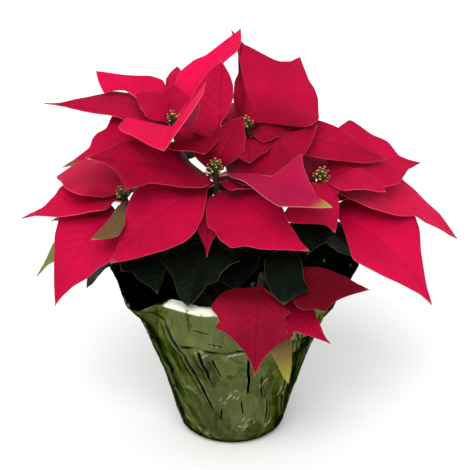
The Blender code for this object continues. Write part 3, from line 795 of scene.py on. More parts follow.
def to_picture(spot):
    """Where the photo's camera sees a place."""
    away = Vector(spot) - VIEW_CENTRE
    scale = VIEW_DISTANCE / (VIEW_DISTANCE - away.dot(VIEW_BACK))
    return Vector((PICTURE_MIDDLE + away.x * scale, PICTURE_MIDDLE - away.dot(VIEW_UP) * scale))


def cross(first, second):
    return first.x * second.y - first.y * second.x


def reach_to(margin, start, run):
    """How many times run goes into the way from start to a margin in the picture, or 0 where it misses."""
    reach = 0
    for low, high in zip(margin, margin[1:]):
        edge, gap = high - low, low - start
        turn = cross(run, edge)
        if abs(turn) >= 1e-9 and 0 <= cross(gap, run) / turn <= 1:
            reach = max(reach, cross(gap, edge) / turn)
    return reach


def measured_half_width(leaf, course, blade, side, margin):
    """The half width that takes the blade to a margin measured on the photo, or None where it's edge on."""
    along = leaf.petiole + (1 - leaf.petiole) * blade
    start, end = (to_picture(flat_place(leaf, course, along, side, aside)[0]) for aside in (0, SIGHT_RUN))
    run = (end - start) / SIGHT_RUN
    if run.length < LEAST_SIGHT:
        return None
    most = MOST_SPREAD * leaf.width * math.sqrt(min(blade / FULL_SPREAD, 1))
    return min(max(reach_to(margin, start, run), LEAST_HALF), most)


def blade_share(row):
    """How far along the blade a row of the grid is, from its foot at 0 to its tip at 1."""
    return max(row - PETIOLE_ROWS, 0) / (LEAF_ROWS - PETIOLE_ROWS)


def half_widths(leaf, course, side, seed):
    """Half the blade's width at each row of the grid, on one side."""
    margin = MARGINS.get(leaf.name, ((), ()))[0 if side < 0 else 1]
    if margin:
        foot, tip = (to_picture(flat_place(leaf, course, along, side, 0)[0]) for along in (leaf.petiole, 1))
        margin = [foot, *(Vector(point) for point in margin), tip]
    halves = []
    for row in range(LEAF_ROWS + 1):
        blade = blade_share(row)
        half = measured_half_width(leaf, course, blade, side, margin) if margin and 0 < blade < 1 else None
        halves.append(grown_half_width(leaf, blade, side, seed) if half is None else half)
    for _ in range(2):
        middle = [(a + 2 * b + c) / 4 for a, b, c in zip(halves, halves[1:], halves[2:])]
        halves = [halves[0], *middle, halves[-1]]
    lower = LEAF_ROWS // 2
    return [max(half, PETIOLE_HALF_WIDTH) for half in halves[:lower]] + halves[lower:]


def midrib(blade, aside):
    """The raised line of the midrib: 1 on it at the blade's foot, lower towards the tip, and 0 beside it."""
    return bell(aside, 0, RIB_HALF_WIDTH) * (1 - RIB_TAPER * blade)


def vein_relief(blade, aside):
    """How far the skin stands up between the side veins, from -0.5 in a vein to 0.5 between two."""
    phase = (blade - VEIN_SLOPE * aside - VEIN_CURVE * aside * aside) * VEIN_COUNT
    return abs(math.cos(math.pi * (phase % 1))) - 0.5


def leaf_lift(leaf, blade, across, aside, length, settings, seed):
    """How far the waves of the margin, the veins and the midrib move the skin up."""
    body = ramp(blade, 0, CALM_SHARE) * ramp(blade, 1, -CALM_SHARE)
    margin = across * across * body
    turns = 2 * math.pi * (WAVE_TURNS * blade + WAVE_SHIFT * seed)
    lift = settings.edge_wave / MM * margin * math.sin(turns + (RIGHT_WAVE_SHIFT if across > 0 else 0))
    lift -= settings.edge_droop / MM * margin * abs(across)
    quilt = math.sin(math.pi * abs(across)) ** 0.6 if abs(across) < 0.98 else 0
    lift += settings.vein_depth / MM * vein_relief(blade, aside / length) * quilt * body
    return lift - RIB_GROOVE * midrib(blade, aside) * body


def make_leaf(leaf, materials, settings, seed, replaced=()):
    """One bract or leaf: a grid laid along its midrib and cut to its margin, its veins raised."""
    builder = bmesh.new()
    thick_layer = builder.verts.layers.deform.verify()
    rim, tone, green = (builder.verts.layers.float.new(name) for name in ("rim", "tone", "green"))
    bmesh.ops.create_grid(builder, x_segments=LEAF_COLUMNS, y_segments=LEAF_ROWS, size=1)
    uv = builder.loops.layers.uv.new("blade")
    course = leaf_course(leaf)
    length = course.chord.length
    halves = {side: half_widths(leaf, course, side, seed) for side in (-1, 1)}
    spots = {}
    for vert in builder.verts:
        across = math.copysign(abs(vert.co.x) ** EDGE_CROWDING, vert.co.x)
        side = 1 if across > 0 else -1
        row = round((vert.co.y + 1) / 2 * LEAF_ROWS)
        blade = blade_share(row)
        along = leaf.petiole * min(row / PETIOLE_ROWS, 1) + (1 - leaf.petiole) * blade
        half = halves[side][row]
        aside = abs(across) * half
        place, above = flat_place(leaf, course, along, side, aside)
        vert.co = place + above * leaf_lift(leaf, blade, across, aside, length, settings, seed)
        vert[rim] = half - aside
        # Painted light and shade: the leaf's tone, with painted shade towards its foot.
        vert[tone] = leaf.tone - FOOT_SHADE * (1 - ramp(blade, 0, SHADE_SHARE))
        vert[green] = ramp(blade, leaf.green, 1 - leaf.green)
        thick = BLADE_THICKNESS + RIB_THICKNESS * midrib(blade, aside)
        if half <= PETIOLE_HALF_WIDTH and row < LEAF_ROWS / 2:
            thick = PETIOLE_THICKNESS * math.sqrt(max(1 - across * across, 0.02))
        vert[thick_layer][0] = thick / PETIOLE_THICKNESS
        spots[vert] = (0.5 + side * aside / length, blade)
    for face in builder.faces:
        for loop in face.loops:
            loop[uv].uv = spots[loop.vert]
    bmesh.ops.remove_doubles(builder, verts=builder.verts, dist=0.002)
    obj = add_piece(leaf.name + "_blade", builder, materials[leaf.colour], replaced)
    obj.vertex_groups.new(name="thick")
    skin = thicken(obj, PETIOLE_THICKNESS, 0)
    skin.vertex_group = "thick"
    skin.thickness_vertex_group = LEAST_THICKNESS
    return obj


# The foil wrap

# Its outer face as (height, radius): the body all round, then its upper part at the sides and back, and
# at the front, where it is pressed low and its edge is folded in.
FOIL_BODY = ((0, 22), (0, 44), (3, 48), (9, 51.5), (23, 56.5), (44, 62.5), (65, 68.5), (86, 75), (112, 85.5))
FOIL_SIDE = (*FOIL_BODY, (126, 92.5), (145, 100), (160, 111), (171, 119), (182, 124.5))
FOIL_FRONT = (*FOIL_BODY, (126, 91), (140, 92), (155, 93), (167, 94), (170, 84))
FOIL_TOP = FOIL_SIDE[-1][0]
FOIL_COLUMNS, FOIL_ROW_STEP, FOIL_SHEET, FOIL_MERGE = 440, 1.6, 0.35, 0.01

# Angles are in degrees from the front. Near the front fold the edge dips, and above the pot it is wavy.
FOIL_FRONT_HALF_ANGLE, FOIL_BLEND_ANGLE = 46, 44
FOIL_DIP, FOIL_DIP_ANGLE, FOIL_DIP_SPREAD, FOIL_DIP_FOOT = 26, 66, 12, 132
POT_RIM_TOP = 112
FOIL_CRUMPLE = 1.6
FOIL_WAVES = ((9, 0.7, 1), (14, 2.4, 0.7), (5, 2, 0.5))

# How far folds move the foil in or out, and how much painted shade or painted highlight each one gets.
GROOVE_DEPTH, SHOULDER_RISE, UNDERCUT_DEPTH, GLINT_RISE = 2.4, 1.2, 0.8, 0.5
GROOVE_SHADE, UNDERCUT_SHADE, FLANK_SHADE, GLINT_LIGHT, SHOULDER_LIGHT = 1.9, 1.2, 0.64, 0.8, 0.16

# The turned-down cuff stands proud of the foil, and is undercut just below its lower edge, which is higher
# at the left; the undercut gets painted shadow. Cuff and undercut reach less far round than the front does.
CUFF_FOOT, CUFF_PROUD, CUFF_TOP, CUFF_RISE, CUFF_RISE_ANGLE = 126, 1.3, 169, 24, -32
CUFF_NARROWING, CUFF_EDGE = 1.05, 1.2
UNDERCUT_NARROWING, UNDERCUT_DROP, UNDERCUT_SPREAD = 1.1, 0.9, 1.4

# The folded lip, painted pale as a painted reflection of the light, starts at a profile point and shows
# between two angles. The edge past it is ragged.
LIP_POINT, LIP_LEFT, LIP_RIGHT, RAGGED_POINT = 11.75, -46, 6, 12

# The flanks, painted dark as painted shade, from the front's edges to the sides.
FLANK_WIDENING, FLANK_END, FLANK_FADE = 0.98, 95, 25


class Stroke(NamedTuple):
    """A straight fold in the foil, between two (angle from the front in degrees, height) places.

    At its end it is taper times as wide as at its start.
    """

    start: tuple
    end: tuple
    width: float
    taper: float = 1

    def near(self, degrees, height, radius):
        """(distance from the fold in its widths, how far its ends have faded), or None far from it."""
        scale = math.radians(radius)
        run_x, run_y = (self.end[0] - self.start[0]) * scale, self.end[1] - self.start[1]
        x, y = (degrees - self.start[0]) * scale, height - self.start[1]
        length = math.hypot(run_x, run_y)
        along = min(max((x * run_x + y * run_y) / length ** 2, 0), 1)
        width = self.width * (1 + (self.taper - 1) * along)
        away = math.hypot(x - run_x * along, y - run_y * along) / width
        return None if away > 4 else (away, smooth_step(0.1 + 5 * min(along, 1 - along)))


CREASES = tuple(Stroke(*values) for values in (
    ((-46, 150), (-33, 112), 4.2, 0.7), ((-33, 113), (-28, 87), 3.2), ((-29, 90), (-16, 44), 3.0, 0.4),
    ((-22, 125), (-16, 82), 3.2, 0.5), ((-13, 117), (-8, 91), 1.6, 0.6), ((10, 119), (14, 65), 1.8),
    ((8, 61), (11, 42), 0.9), ((-9, 52), (-11, 34), 0.9), ((47, 84), (49, 54), 2.2),
    ((49, 56), (60, 23), 2.2), ((43, 136), (48, 110), 2.2), ((59, 148), (65, 107), 2.2),
    ((56, 108), (66, 70), 2), ((30, 128), (33, 96), 1.4), ((-66, 118), (-58, 60), 2),
    ((-58, 62), (-44, 22), 1.6), ((-80, 140), (-72, 70), 2.2), ((-50, 110), (-42, 62), 1.4),
    ((-38, 60), (-30, 22), 1.2), ((22, 92), (26, 58), 1.2), ((31, 60), (35, 24), 1.4),
    ((-24, 148), (-13, 146), 1.2), ((-15, 135), (-5, 132), 1.2), ((2, 150), (12, 146), 1.2),
    ((82, 132), (77, 48), 2), ((96, 150), (103, 60), 2.2), ((118, 120), (111, 30), 1.8),
    ((134, 155), (141, 66), 2.2), ((158, 118), (151, 36), 2), ((176, 150), (182, 50), 2.2),
    ((-104, 150), (-97, 52), 2.2), ((-124, 128), (-131, 30), 1.8), ((-148, 156), (-141, 58), 2.2),
    ((-166, 120), (-171, 28), 2),
))

# Where groups of short folds get painted glints: (angle, height, how many, lean in degrees).
GLINT_GROUPS = (
    (18, 32, 8, 50), (10, 24, 5, 55), (38, 22, 4, 60), (-49, 24, 4, 120), (-40, 20, 5, 130),
    (-31, 13, 5, 140), (-22, 9, 4, 150), (2, 69, 5, 60), (-6, 58, 4, 40), (-34, 69, 4, 130),
    (-18, 121, 3, 20), (2, 124, 4, 15), (26, 80, 4, 70), (48, 60, 4, 80), (-60, 60, 4, 110),
    (70, 40, 5, 60), (100, 90, 5, 80), (125, 40, 6, 50), (150, 80, 5, 110), (175, 30, 6, 60),
    (-90, 50, 5, 60), (-115, 90, 5, 100), (-140, 35, 6, 130), (-165, 85, 5, 70),
)
GLINT_GAP, GLINT_LENGTH, GLINT_WIDTH, GLINT_RADIUS, GLINT_SEED = 2.4, 9, 0.6, 70, 4


def glint_strokes():
    """The short folds with painted glints of every group, side by side across their lean."""
    strokes = []
    across = math.degrees(GLINT_GAP / GLINT_RADIUS)
    for angle, height, count, lean in GLINT_GROUPS:
        for i in range(count):
            chance = noise.random_unit_vector()
            half = GLINT_LENGTH * (0.4 + 0.35 * chance.x)
            turn = math.radians(lean + 25 * chance.y)
            middle = (angle + across * (i - count / 2), height + 4 * chance.z)
            step = (math.degrees(half * math.cos(turn) / GLINT_RADIUS), half * math.sin(turn))
            ends = (tuple(a + sign * b for a, b in zip(middle, step)) for sign in (-1, 1))
            strokes.append(Stroke(*ends, GLINT_WIDTH))
    return strokes


def front_share(degrees):
    """1 at the front, where the foil is pressed low, and 0 at the sides and back."""
    return 1 - ramp(abs(degrees), FOIL_FRONT_HALF_ANGLE, FOIL_BLEND_ANGLE)


def foil_place(degrees, where):
    """(height, radius) of the foil's outer face at an angle, where is counted in profile points."""
    if where < 0:
        return 0, FOIL_BODY[0][1] * (1 + where)
    if where < 2:
        low = int(where)
        return tuple(Vector(FOIL_BODY[low]).lerp(Vector(FOIL_BODY[low + 1]), where - low))
    side, front = curve_at(FOIL_SIDE, where), curve_at(FOIL_FRONT, where)
    height, radius = side.lerp(front, front_share(degrees))
    dip = bell(abs(degrees), FOIL_DIP_ANGLE, FOIL_DIP_SPREAD)
    height -= FOIL_DIP * dip * max(side.x - FOIL_DIP_FOOT, 0) / (FOIL_TOP - FOIL_DIP_FOOT)
    turn = math.radians(degrees) - math.pi / 2
    wave = sum(size * math.sin(count * turn + start) for count, start, size in FOIL_WAVES)
    return height, radius + FOIL_CRUMPLE * ramp(side.x, POT_RIM_TOP, FOIL_TOP - POT_RIM_TOP) * wave


def crease_depth(degrees, height, radius):
    """(groove, shoulder) near the long creases: 1 in the line of one, and 1 on the ridges beside it."""
    groove = shoulder = 0
    degrees += 1.1 * noise.noise(Vector((degrees * 0.05, height * 0.06, 9)))
    for crease in CREASES:
        if found := crease.near(degrees, height, radius):
            away, fade = found
            groove = max(groove, fade * max(1 - away / (0.35 + 0.5 * fade), 0))
            shoulder = max(shoulder, fade * bell(away, 1.1, 0.7))
    return groove, shoulder


def glint_share(strokes, degrees, height, radius):
    """1 on a short fold with a painted glint."""
    near = (stroke.near(degrees, height, radius) for stroke in strokes)
    return max((found[1] * ramp(found[0], 1.6, -1) for found in near if found), default=0)


def facets(across, along, seed):
    """Flat-sided hills and valleys, from 0 to about 1."""
    return noise.voronoi(Vector((across, along, seed)), distance_metric="CHEBYCHEV")[0][0]


def foil_crinkle(degrees, height, radius):
    """How far small folds move the foil out: more at its foot and in its flare, less over the pot's rim."""
    arc = math.radians(degrees) * radius
    low, high = ramp(height, 46, -40), ramp(height, 118, 40)
    calm = 0.35 + 0.65 * ramp(height, 122, -8)
    tall = facets((arc + 0.18 * height) / 17, height / 60, 1.5)
    small = facets((arc + height) / 13, (height - 0.4 * arc) / 12, 7.5)
    tiny = facets(arc / 6, (height + 0.7 * arc) / 7, 3.5)
    return calm * (1.7 * tall + (0.7 + 0.8 * low) * small + (0.25 + 0.5 * low) * tiny) + 1.2 * high * small


def cuff_edge(degrees):
    """The height of the cuff's lower edge, which is torn and wavy, and rises at the left."""
    tear = 1.5 * noise.noise(Vector((degrees * 0.15, 0, 0)))
    rise = CUFF_RISE * ramp(degrees, CUFF_RISE_ANGLE, -15)
    return CUFF_FOOT + 1.5 * math.sin(degrees * 0.21) + rise + tear


def foil_spot(degrees, where, glints):
    """(height, radius, fold, lip, cuff, glint) of the foil's outer face: fold is its painted shade and glint
    its painted highlight.
    """
    height, radius = foil_place(degrees, where)
    if where <= 1:
        return height, radius, 0, 0, 0, 0
    groove, shoulder = crease_depth(degrees, height, radius)
    glint = glint_share(glints, degrees, height, radius)
    edge = cuff_edge(degrees)
    cuff = ramp(height, edge, CUFF_EDGE) * front_share(degrees * CUFF_NARROWING)
    under = bell(height, edge - UNDERCUT_DROP, UNDERCUT_SPREAD) * front_share(degrees * UNDERCUT_NARROWING)
    under *= smooth_step(0.5 + 1.5 * noise.noise(Vector((degrees * 0.12, 3, 0))))
    out = foil_crinkle(degrees, height, radius) + SHOULDER_RISE * shoulder + GLINT_RISE * glint
    out -= GROOVE_DEPTH * groove + UNDERCUT_DEPTH * under
    radius += ramp(height, 0, 8) * out + CUFF_PROUD * cuff * ramp(height, CUFF_TOP, -2)
    flank = (1 - front_share(degrees * FLANK_WIDENING)) * ramp(height, POT_RIM_TOP, 10)
    flank *= 1 - ramp(abs(degrees), FLANK_END, FLANK_FADE)
    lip = ramp(where, LIP_POINT, 0.2) * ramp(degrees, LIP_LEFT, 4) * ramp(degrees, LIP_RIGHT, -12)
    ragged = 3 * (1 - front_share(degrees)) + 1.2
    height += ramp(where, RAGGED_POINT, 1) * ragged * (facets(degrees / 9, 0, 5) - 0.5)
    # Painted shade in the grooves, in the undercut below the cuff and on the flanks.
    fold = max(GROOVE_SHADE * groove, UNDERCUT_SHADE * under, FLANK_SHADE * flank)
    # Painted highlights on the glints and on the shoulders beside the creases, less on the flanks.
    light = max(GLINT_LIGHT * glint, SHOULDER_LIGHT * shoulder * (1 - 0.8 * flank))
    return height, radius, fold, lip, cuff, light


def make_foil_wrap(settings):
    """The foil: a spun sheet on the frame's profile, with long creases, crinkles and a turned-down cuff."""
    rows = [-1, 0, 1]
    for low, (foot, top) in enumerate(zip(FOIL_SIDE, FOIL_SIDE[1:])):
        if low > 0:
            count = max(round(path_length((foot, top)) / FOIL_ROW_STEP), 2)
            rows += [low + (i + 1) / count for i in range(count)]
    builder = spun([(1, 0, where) for where in rows], FOIL_COLUMNS)
    noise.seed_set(GLINT_SEED)
    glints = glint_strokes()
    # Masks for the painted shade, the lip painted pale, the cuff and the painted highlights.
    layers = [builder.verts.layers.float.new(name) for name in ("fold", "lip", "cuff", "glint")]
    for vert in builder.verts:
        # Columns stand closer together at the front, which shows the most folds.
        share = math.atan2(vert.co.x, -vert.co.y) / math.pi
        degrees = 180 * (0.45 * share + 0.55 * share * abs(share) ** 1.5)
        height, radius, *values = foil_spot(degrees, vert.co.z, glints)
        for layer, value in zip(layers, values):
            vert[layer] = min(value, 1)
        turn = math.radians(degrees)
        vert.co = (radius * math.sin(turn), -radius * math.cos(turn), height)
    close_seams(builder, FOIL_MERGE)
    sides = [foil_material(settings), foil_inside_material(settings)]
    obj = add_piece("foil_wrap_sheet", builder, sides, ["foil_wrap"])
    thicken(obj, FOIL_SHEET, -1)
    return obj


# The pot, the soil and the stems

SOIL_FOOT, SOIL_FOOT_RADIUS, SOIL_SHOULDER = 4, 43, 94
SOIL_RADIUS, SOIL_TOP, SOIL_MOUND, SOIL_RINGS = 71, 98, 3, 40
CRUMB_HEIGHT, CRUMB_DETAIL = 2.2, 0.16
TRUNK = ((0, 0, 96), (0.4, -0.3, 106), (0, 0, 116))
TRUNK_RADII = (7.4, 7, 5)
TRUNK_SIDES, TRUNK_RINGS, BRANCH_SIDES, RING_GAP = 16, 8, 12, 6
BARK_GRAIN = 1.1


def finish_nursery_pot():
    """The frame's pot keeps its shape and gets the look of moulded plastic."""
    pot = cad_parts["nursery_pot"]
    pot.data.materials.clear()
    pot.data.materials.append(plastic_material())


def make_soil():
    """The soil, its top broken up into crumbs."""
    foot = [(0, 0, SOIL_FOOT), (SOIL_FOOT_RADIUS, 0, SOIL_FOOT), (SOIL_RADIUS, 0, SOIL_SHOULDER)]
    top = [(SOIL_RADIUS * (1 - i / SOIL_RINGS), 0, SOIL_TOP) for i in range(SOIL_RINGS + 1)]
    builder = spun([*foot, *top], 128)
    close_seams(builder, 0.001)
    for vert in builder.verts:
        if vert.co.z < SOIL_TOP - 1:
            continue
        reach = math.hypot(vert.co.x, vert.co.y) / SOIL_RADIUS
        crumbs = CRUMB_HEIGHT * noise.turbulence(vert.co * CRUMB_DETAIL, 4, True)
        vert.co.z += (SOIL_MOUND * (1 - reach * reach) + crumbs - 1) * ramp(reach, 1, -0.125)
    return add_piece("soil_crumbs", builder, [soil_material()], ["soil"])


def ring_edges(ring):
    """The edges round a ring of points, without those that lead away from it."""
    return {edge for vert in ring for edge in vert.link_edges if all(end in ring for end in edge.verts)}


def add_tube(builder, points, radii, sides, rings):
    """A closed round tube on a smooth curve through points, its radius even between radii."""
    made = []
    last = len(points) - 1
    for i in range(rings + 1):
        where = i * last / rings
        ahead = curve_at(points, min(where + 0.05, last)) - curve_at(points, max(where - 0.05, 0))
        low = min(int(where), last - 1)
        radius = radii[low] + (radii[low + 1] - radii[low]) * (where - low)
        matrix = facing(curve_at(points, where), ahead)
        made.append(bmesh.ops.create_circle(builder, segments=sides, radius=radius, matrix=matrix)["verts"])
    for lower, upper in zip(made, made[1:]):
        bmesh.ops.bridge_loops(builder, edges=[*ring_edges(lower), *ring_edges(upper)])
    for ring in (made[0], made[-1]):
        builder.faces.new(ring)


def make_stems():
    """The trunk and its branches, joined and rounded into one piece of bark."""
    builder = bmesh.new()
    add_tube(builder, TRUNK, TRUNK_RADII, TRUNK_SIDES, TRUNK_RINGS)
    for points in BRANCHES.values():
        radii = [branch_radius(i / (len(points) - 1)) for i in range(len(points))]
        add_tube(builder, points, radii, BRANCH_SIDES, round(path_length(points) / RING_GAP))
    bmesh.ops.recalc_face_normals(builder, faces=builder.faces)
    obj = add_piece("stems_bark", builder, [bark_material()], ["stems"])
    join = obj.modifiers.new("join", "REMESH")
    join.mode = "VOXEL"
    join.voxel_size = BARK_GRAIN * MM
    join.use_smooth_shade = True
    return obj


# Flowers

GOLDEN_ANGLE = math.radians(137.5)

# A cup's parts: half sizes of its urn and gland, how far up and aside the gland is, and its mouth's height.
URN_SIZE, GLAND_SIZE = (2.0, 2.0, 2.7), (1.2, 1.0, 0.7)
STALK_RADIUS, GLAND_REACH, MOUTH_HEIGHT = 0.8, 1.7, 2.3
STAMENS, STAMEN_SPREAD, HEAD_HEIGHT = 5, 0.4, 2.2

# A dome's height above its branch falls from its middle to its rim, as shares of its radius.
DOME_HEIGHT, DOME_FALL, DOME_REACH, DOME_LEAN, DOME_FOOT = 0.8, 1.3, 0.92, 0.8, 3

# The materials of a cluster: name, two colours, roughness and how fine its grains are.
CUP, GLAND, STAMEN, POLLEN = range(4)
FLOWER_FINISHES = (
    ("flower_cup", (0.02, 0.026, 0.005), (0.1, 0.1, 0.02), 0.5, 500.0),
    ("flower_gland", (0.75, 0.6, 0.2), (0.5, 0.4, 0.1), 0.35, 700.0),
    ("flower_stamen", (0.4, 0.02, 0.025), (0.55, 0.08, 0.06), 0.5, 900.0),
    ("flower_pollen", (0.6, 0.45, 0.1), (0.42, 0.3, 0.06), 0.7, 1500.0),
)


def add_shape(builder, made, spot, direction, size, index):
    """Moves a new shape to its place, stretches it by size and gives it one of the materials."""
    matrix = facing(spot, direction) @ Matrix.Diagonal((*size, 1))
    bmesh.ops.transform(builder, matrix=matrix, verts=made["verts"])
    for face in {face for vert in made["verts"] for face in vert.link_faces}:
        face.material_index = index


def add_cup(builder, foot, spot, lean, side, size):
    """One flower cup on its stalk: a green urn, a yellow gland beside it and red stamens in its mouth."""
    stalk = bmesh.ops.create_cone(builder, cap_ends=True, segments=8, radius1=1, radius2=1, depth=1)
    run = spot - foot
    stalk_size = (STALK_RADIUS, STALK_RADIUS, run.length)
    add_shape(builder, stalk, foot + run / 2, run.normalized(), stalk_size, CUP)
    urn = bmesh.ops.create_uvsphere(builder, u_segments=12, v_segments=8, radius=1)
    add_shape(builder, urn, spot, lean, scaled(URN_SIZE, size), CUP)
    gland = bmesh.ops.create_uvsphere(builder, u_segments=10, v_segments=6, radius=1)
    aside = spot + (lean * GLAND_REACH + side * GLAND_REACH) * size
    add_shape(builder, gland, aside, (lean + side).normalized(), scaled(GLAND_SIZE, size), GLAND)
    mouth = spot + lean * MOUTH_HEIGHT * size
    for i in range(STAMENS):
        turn = Matrix.Rotation(i * GOLDEN_ANGLE, 3, lean)
        rise = (lean + turn @ side * STAMEN_SPREAD).normalized()
        stamen = bmesh.ops.create_cone(
            builder, cap_ends=True, segments=6, radius1=0.3, radius2=0.24, depth=2)
        add_shape(builder, stamen, mouth + rise, rise, (size, size, size), STAMEN)
        head = bmesh.ops.create_icosphere(builder, subdivisions=1, radius=0.6)
        finish = POLLEN if i % 2 else STAMEN
        add_shape(builder, head, mouth + rise * HEAD_HEIGHT, rise, (size, size, size), finish)


def make_flowers(branch, materials):
    """A dome of flower cups on the end of a branch."""
    top, direction, _ = branch_place(branch, 0)
    radius = FLOWER_RADII[branch]
    builder = bmesh.new()
    count = round(0.15 * radius * radius) + 3
    turned = direction.to_track_quat("Z", "Y").to_matrix()
    for i in range(count):
        reach = math.sqrt((i + 0.3) / count)
        turn = i * GOLDEN_ANGLE
        aside, side = (turned @ Vector((math.cos(a), math.sin(a), 0)) for a in (turn, turn + 0.9))
        lean = (direction + aside * reach * DOME_LEAN).normalized()
        height = DOME_HEIGHT - DOME_FALL * reach * reach
        spot = top + direction * (radius * height) + aside * (radius * DOME_REACH * reach)
        side = (side - lean * side.dot(lean)).normalized()
        add_cup(builder, top - direction * DOME_FOOT, spot, lean, side, 1.0 - 0.12 * (i % 3))
    return add_piece(f"flowers_{branch}_cups", builder, materials, [f"flowers_{branch}"])


# The stage

FLOOR_RADIUS = 40000
FLOOR_COLOURS = (0.93, 0.93, 0.93), (0.9, 0.9, 0.9)
SENSOR = 36
KEY_DIRECTION, KEY_SOFTNESS = Vector((-0.15, -1.0, 1.05)), math.radians(40)


def make_floor():
    """A pale floor that reaches the horizon."""
    builder = bmesh.new()
    bmesh.ops.create_circle(builder, cap_ends=True, segments=64, radius=FLOOR_RADIUS)
    made, sockets, start = new_material("pale_floor", {"Roughness": 0.9, "Specular IOR Level": 0.1})
    start.object_place().noise(3.0).mix(*FLOOR_COLOURS).link(sockets["Base Color"])
    floor = add_piece("floor", builder, [made], rides=False)


def make_lights(settings):
    """Even light from all round, and a soft key light from the front and above."""
    world = bpy.data.worlds.new("pale_room")
    bpy.context.scene.world = world
    world.use_nodes = True
    sky = world.node_tree.nodes["Background"].inputs
    sky["Color"].default_value = (1, 1, 1, 1)
    sky["Strength"].default_value = settings.sky_power
    sun = bpy.data.lights.new("key", "SUN")
    sun.energy = settings.sun_power
    sun.angle = KEY_SOFTNESS
    key = bpy.data.objects.new("key", sun)
    key.rotation_euler = KEY_DIRECTION.to_track_quat("Z", "Y").to_euler()
    bpy.context.scene.collection.objects.link(key)


def make_camera(settings):
    """The photo's camera."""
    camera = bpy.data.cameras.new("camera")
    camera.sensor_width = SENSOR
    camera.lens = SENSOR * settings.distance / settings.frame_side
    obj = bpy.data.objects.new("camera", camera)
    back = Vector((0, -math.cos(settings.elevation), math.sin(settings.elevation)))
    obj.location = VIEW_CENTRE * MM + back * settings.distance
    obj.rotation_euler = back.to_track_quat("Z", "Y").to_euler()
    bpy.context.scene.collection.objects.link(obj)
    bpy.context.scene.camera = obj
    bpy.context.scene.view_settings.view_transform = "Standard"


# What a user can change

COLOUR = {"subtype": "COLOR", "size": 3, "min": 0, "max": 1}


class PlantSettings(bpy.types.PropertyGroup):
    """Sizes and colours of the bracts and leaves."""

    bract_colour: bpy.props.FloatVectorProperty(
        name="Bract colour", description="Upper face of the lightest bract", default=(0.70, 0.003, 0.062),
        **COLOUR)
    bract_deep: bpy.props.FloatVectorProperty(
        name="Bract shade", description="Upper face of the darkest bract", default=(0.10, 0.001, 0.006),
        **COLOUR)
    leaf_colour: bpy.props.FloatVectorProperty(
        name="Leaf colour", description="Upper face of a green leaf", default=(0.016, 0.034, 0.012),
        **COLOUR)
    vein_depth: bpy.props.FloatProperty(
        name="Vein depth", description="How far the skin stands up between the side veins",
        unit="LENGTH", min=0, max=0.002, default=0.0005)
    edge_wave: bpy.props.FloatProperty(
        name="Edge wave", description="Height of the waves along a margin",
        unit="LENGTH", min=0, max=0.005, default=0.0012)
    edge_droop: bpy.props.FloatProperty(
        name="Edge droop", description="How far the margins hang below the blade",
        unit="LENGTH", min=0, max=0.005, default=0.001)


class WrapSettings(bpy.types.PropertyGroup):
    """Colour of the foil wrap."""

    foil_colour: bpy.props.FloatVectorProperty(
        name="Foil colour", description="Colour that the foil's metal reflects",
        default=(0.094, 0.112, 0.036), **COLOUR)


class StageSettings(bpy.types.PropertyGroup):
    """Camera and lights."""

    elevation: bpy.props.FloatProperty(
        name="Camera elevation", description="Angle of the camera above the horizon",
        subtype="ANGLE", min=0, max=math.pi / 2, default=VIEW_ELEVATION)
    distance: bpy.props.FloatProperty(
        name="Camera distance", description="From the camera to the middle of the plant",
        unit="LENGTH", min=0.5, max=10, default=VIEW_DISTANCE * MM)
    frame_side: bpy.props.FloatProperty(
        name="Frame side", description="Side of the square that the camera sees at the plant",
        unit="LENGTH", min=0.1, max=5, default=0.47)
    sun_power: bpy.props.FloatProperty(
        name="Key light", description="Strength of the soft light from the front and above",
        min=0, max=20, default=2.2)
    sky_power: bpy.props.FloatProperty(
        name="Sky light", description="Strength of the even light from all round",
        min=0, max=5, default=0.85)


# Operators

def leaf_materials(settings):
    """The two materials, above and below, of each kind of bract and leaf."""
    bract, deep = tuple(settings.bract_colour), tuple(settings.bract_deep)
    # The darkest green is near black, as painted shade for leaves deep in the plant.
    green, deep_green = tuple(settings.leaf_colour), (0.001, 0.0016, 0.001)
    # The margin colours are painted highlights along the edges.
    kinds = (
        (RED, (0.42, 0.03, 0.07), Blade(bract, deep, (0.8, 0.09, 0.16), (0.13, 0.1, 0.045))),
        # A shaded copy of the red bract, for bracts in shade: duller painted highlight and darker underside.
        (DARK_RED, (0.36, 0.025, 0.06), Blade(bract, deep, (0.7, 0.09, 0.15), (0.12, 0.05, 0.04))),
        (FOLDED, (0.4, 0.05, 0.09),
         Blade((0.46, 0.007, 0.055), (0.17, 0.004, 0.035), (0.6, 0.28, 0.26), (0.28, 0.3, 0.03), vein=0.15)),
        (GREEN, (0.04, 0.06, 0.03),
         Blade(green, deep_green, (0.15, 0.18, 0.12), (0.04, 0.05, 0.02), 0.45, 0.045, 0.1)),
        (OLIVE, (0.13, 0.14, 0.05),
         Blade((0.17, 0.19, 0.03), (0.13, 0.07, 0.03), (0.42, 0.24, 0.07), (0.3, 0.28, 0.04))),
    )
    made = {}
    for name, under, blade in kinds:
        back = blade._replace(face=under, deep=scaled(under, 0.4), vein=0.2)
        made[name] = [blade_material(name, blade), blade_material(name + "_under", back)]
    return made


class PLANT_OT_leaves(bpy.types.Operator):
    """Makes every bract and leaf"""

    bl_idname = "plant.leaves"
    bl_label = "Bracts and leaves"

    def execute(self, context):
        settings = context.scene.plant_settings
        materials = leaf_materials(settings)
        for seed, leaf in enumerate(LEAVES):
            make_leaf(leaf, materials, settings, seed, [leaf.name])
        for seed, leaf in enumerate(INNER_LEAVES):
            make_leaf(leaf, materials, settings, seed)
        return {"FINISHED"}


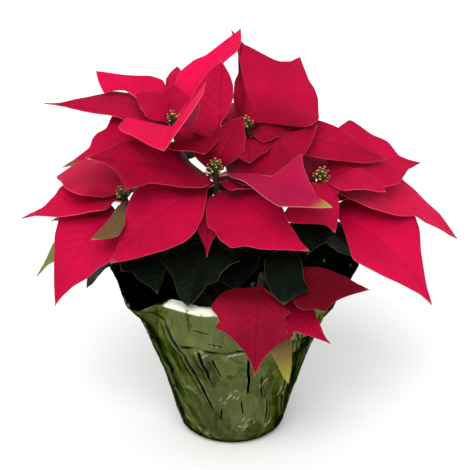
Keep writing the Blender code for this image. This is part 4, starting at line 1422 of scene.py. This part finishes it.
class PLANT_OT_flowers(bpy.types.Operator):
    """Makes the five flower clusters"""

    bl_idname = "plant.flowers"
    bl_label = "Flowers"

    def execute(self, context):
        materials = [grain_material(*finish) for finish in FLOWER_FINISHES]
        for branch in FLOWER_RADII:
            make_flowers(branch, materials)
        return {"FINISHED"}


class PLANT_OT_stems(bpy.types.Operator):
    """Makes the trunk and its branches"""

    bl_idname = "plant.stems"
    bl_label = "Stems"

    def execute(self, context):
        make_stems()
        return {"FINISHED"}


class PLANT_OT_wrap(bpy.types.Operator):
    """Makes the foil wrap"""

    bl_idname = "plant.wrap"
    bl_label = "Foil wrap"

    def execute(self, context):
        make_foil_wrap(context.scene.wrap_settings)
        return {"FINISHED"}


class PLANT_OT_pot(bpy.types.Operator):
    """Finishes the nursery pot and makes its soil"""

    bl_idname = "plant.pot"
    bl_label = "Pot and soil"

    def execute(self, context):
        finish_nursery_pot()
        make_soil()
        return {"FINISHED"}


class PLANT_OT_stage(bpy.types.Operator):
    """Makes the floor, the lights and the camera"""

    bl_idname = "plant.stage"
    bl_label = "Stage"

    def execute(self, context):
        settings = context.scene.stage_settings
        make_floor()
        make_lights(settings)
        make_camera(settings)
        return {"FINISHED"}


class PLANT_PT_panel(bpy.types.Panel):
    """The plant's settings and the buttons that make its pieces"""

    bl_idname = "PLANT_PT_panel"
    bl_label = "Poinsettia"
    bl_space_type = "VIEW_3D"
    bl_region_type = "UI"
    bl_category = "Poinsettia"

    def draw(self, context):
        for group in GROUPS:
            settings = getattr(context.scene, group)
            for name in settings.__annotations__:
                self.layout.prop(settings, name)
        for step in STEPS:
            self.layout.operator(step.bl_idname)


STEPS = (PLANT_OT_pot, PLANT_OT_stems, PLANT_OT_leaves, PLANT_OT_flowers, PLANT_OT_wrap, PLANT_OT_stage)
GROUPS = {"plant_settings": PlantSettings, "wrap_settings": WrapSettings, "stage_settings": StageSettings}


def register():
    for group in GROUPS.values():
        bpy.utils.register_class(group)
    for name, group in GROUPS.items():
        setattr(bpy.types.Scene, name, bpy.props.PointerProperty(type=group))
    for made in (*STEPS, PLANT_PT_panel):
        bpy.utils.register_class(made)


def unregister():
    for made in (PLANT_PT_panel, *reversed(STEPS)):
        bpy.utils.unregister_class(made)
    for name, group in GROUPS.items():
        delattr(bpy.types.Scene, name)
        bpy.utils.unregister_class(group)


def main():
    register()
    bpy.ops.plant.pot()
    bpy.ops.plant.stems()
    bpy.ops.plant.leaves()
    bpy.ops.plant.flowers()
    bpy.ops.plant.wrap()
    bpy.ops.plant.stage()


if __name__ == "__main__":
    main()
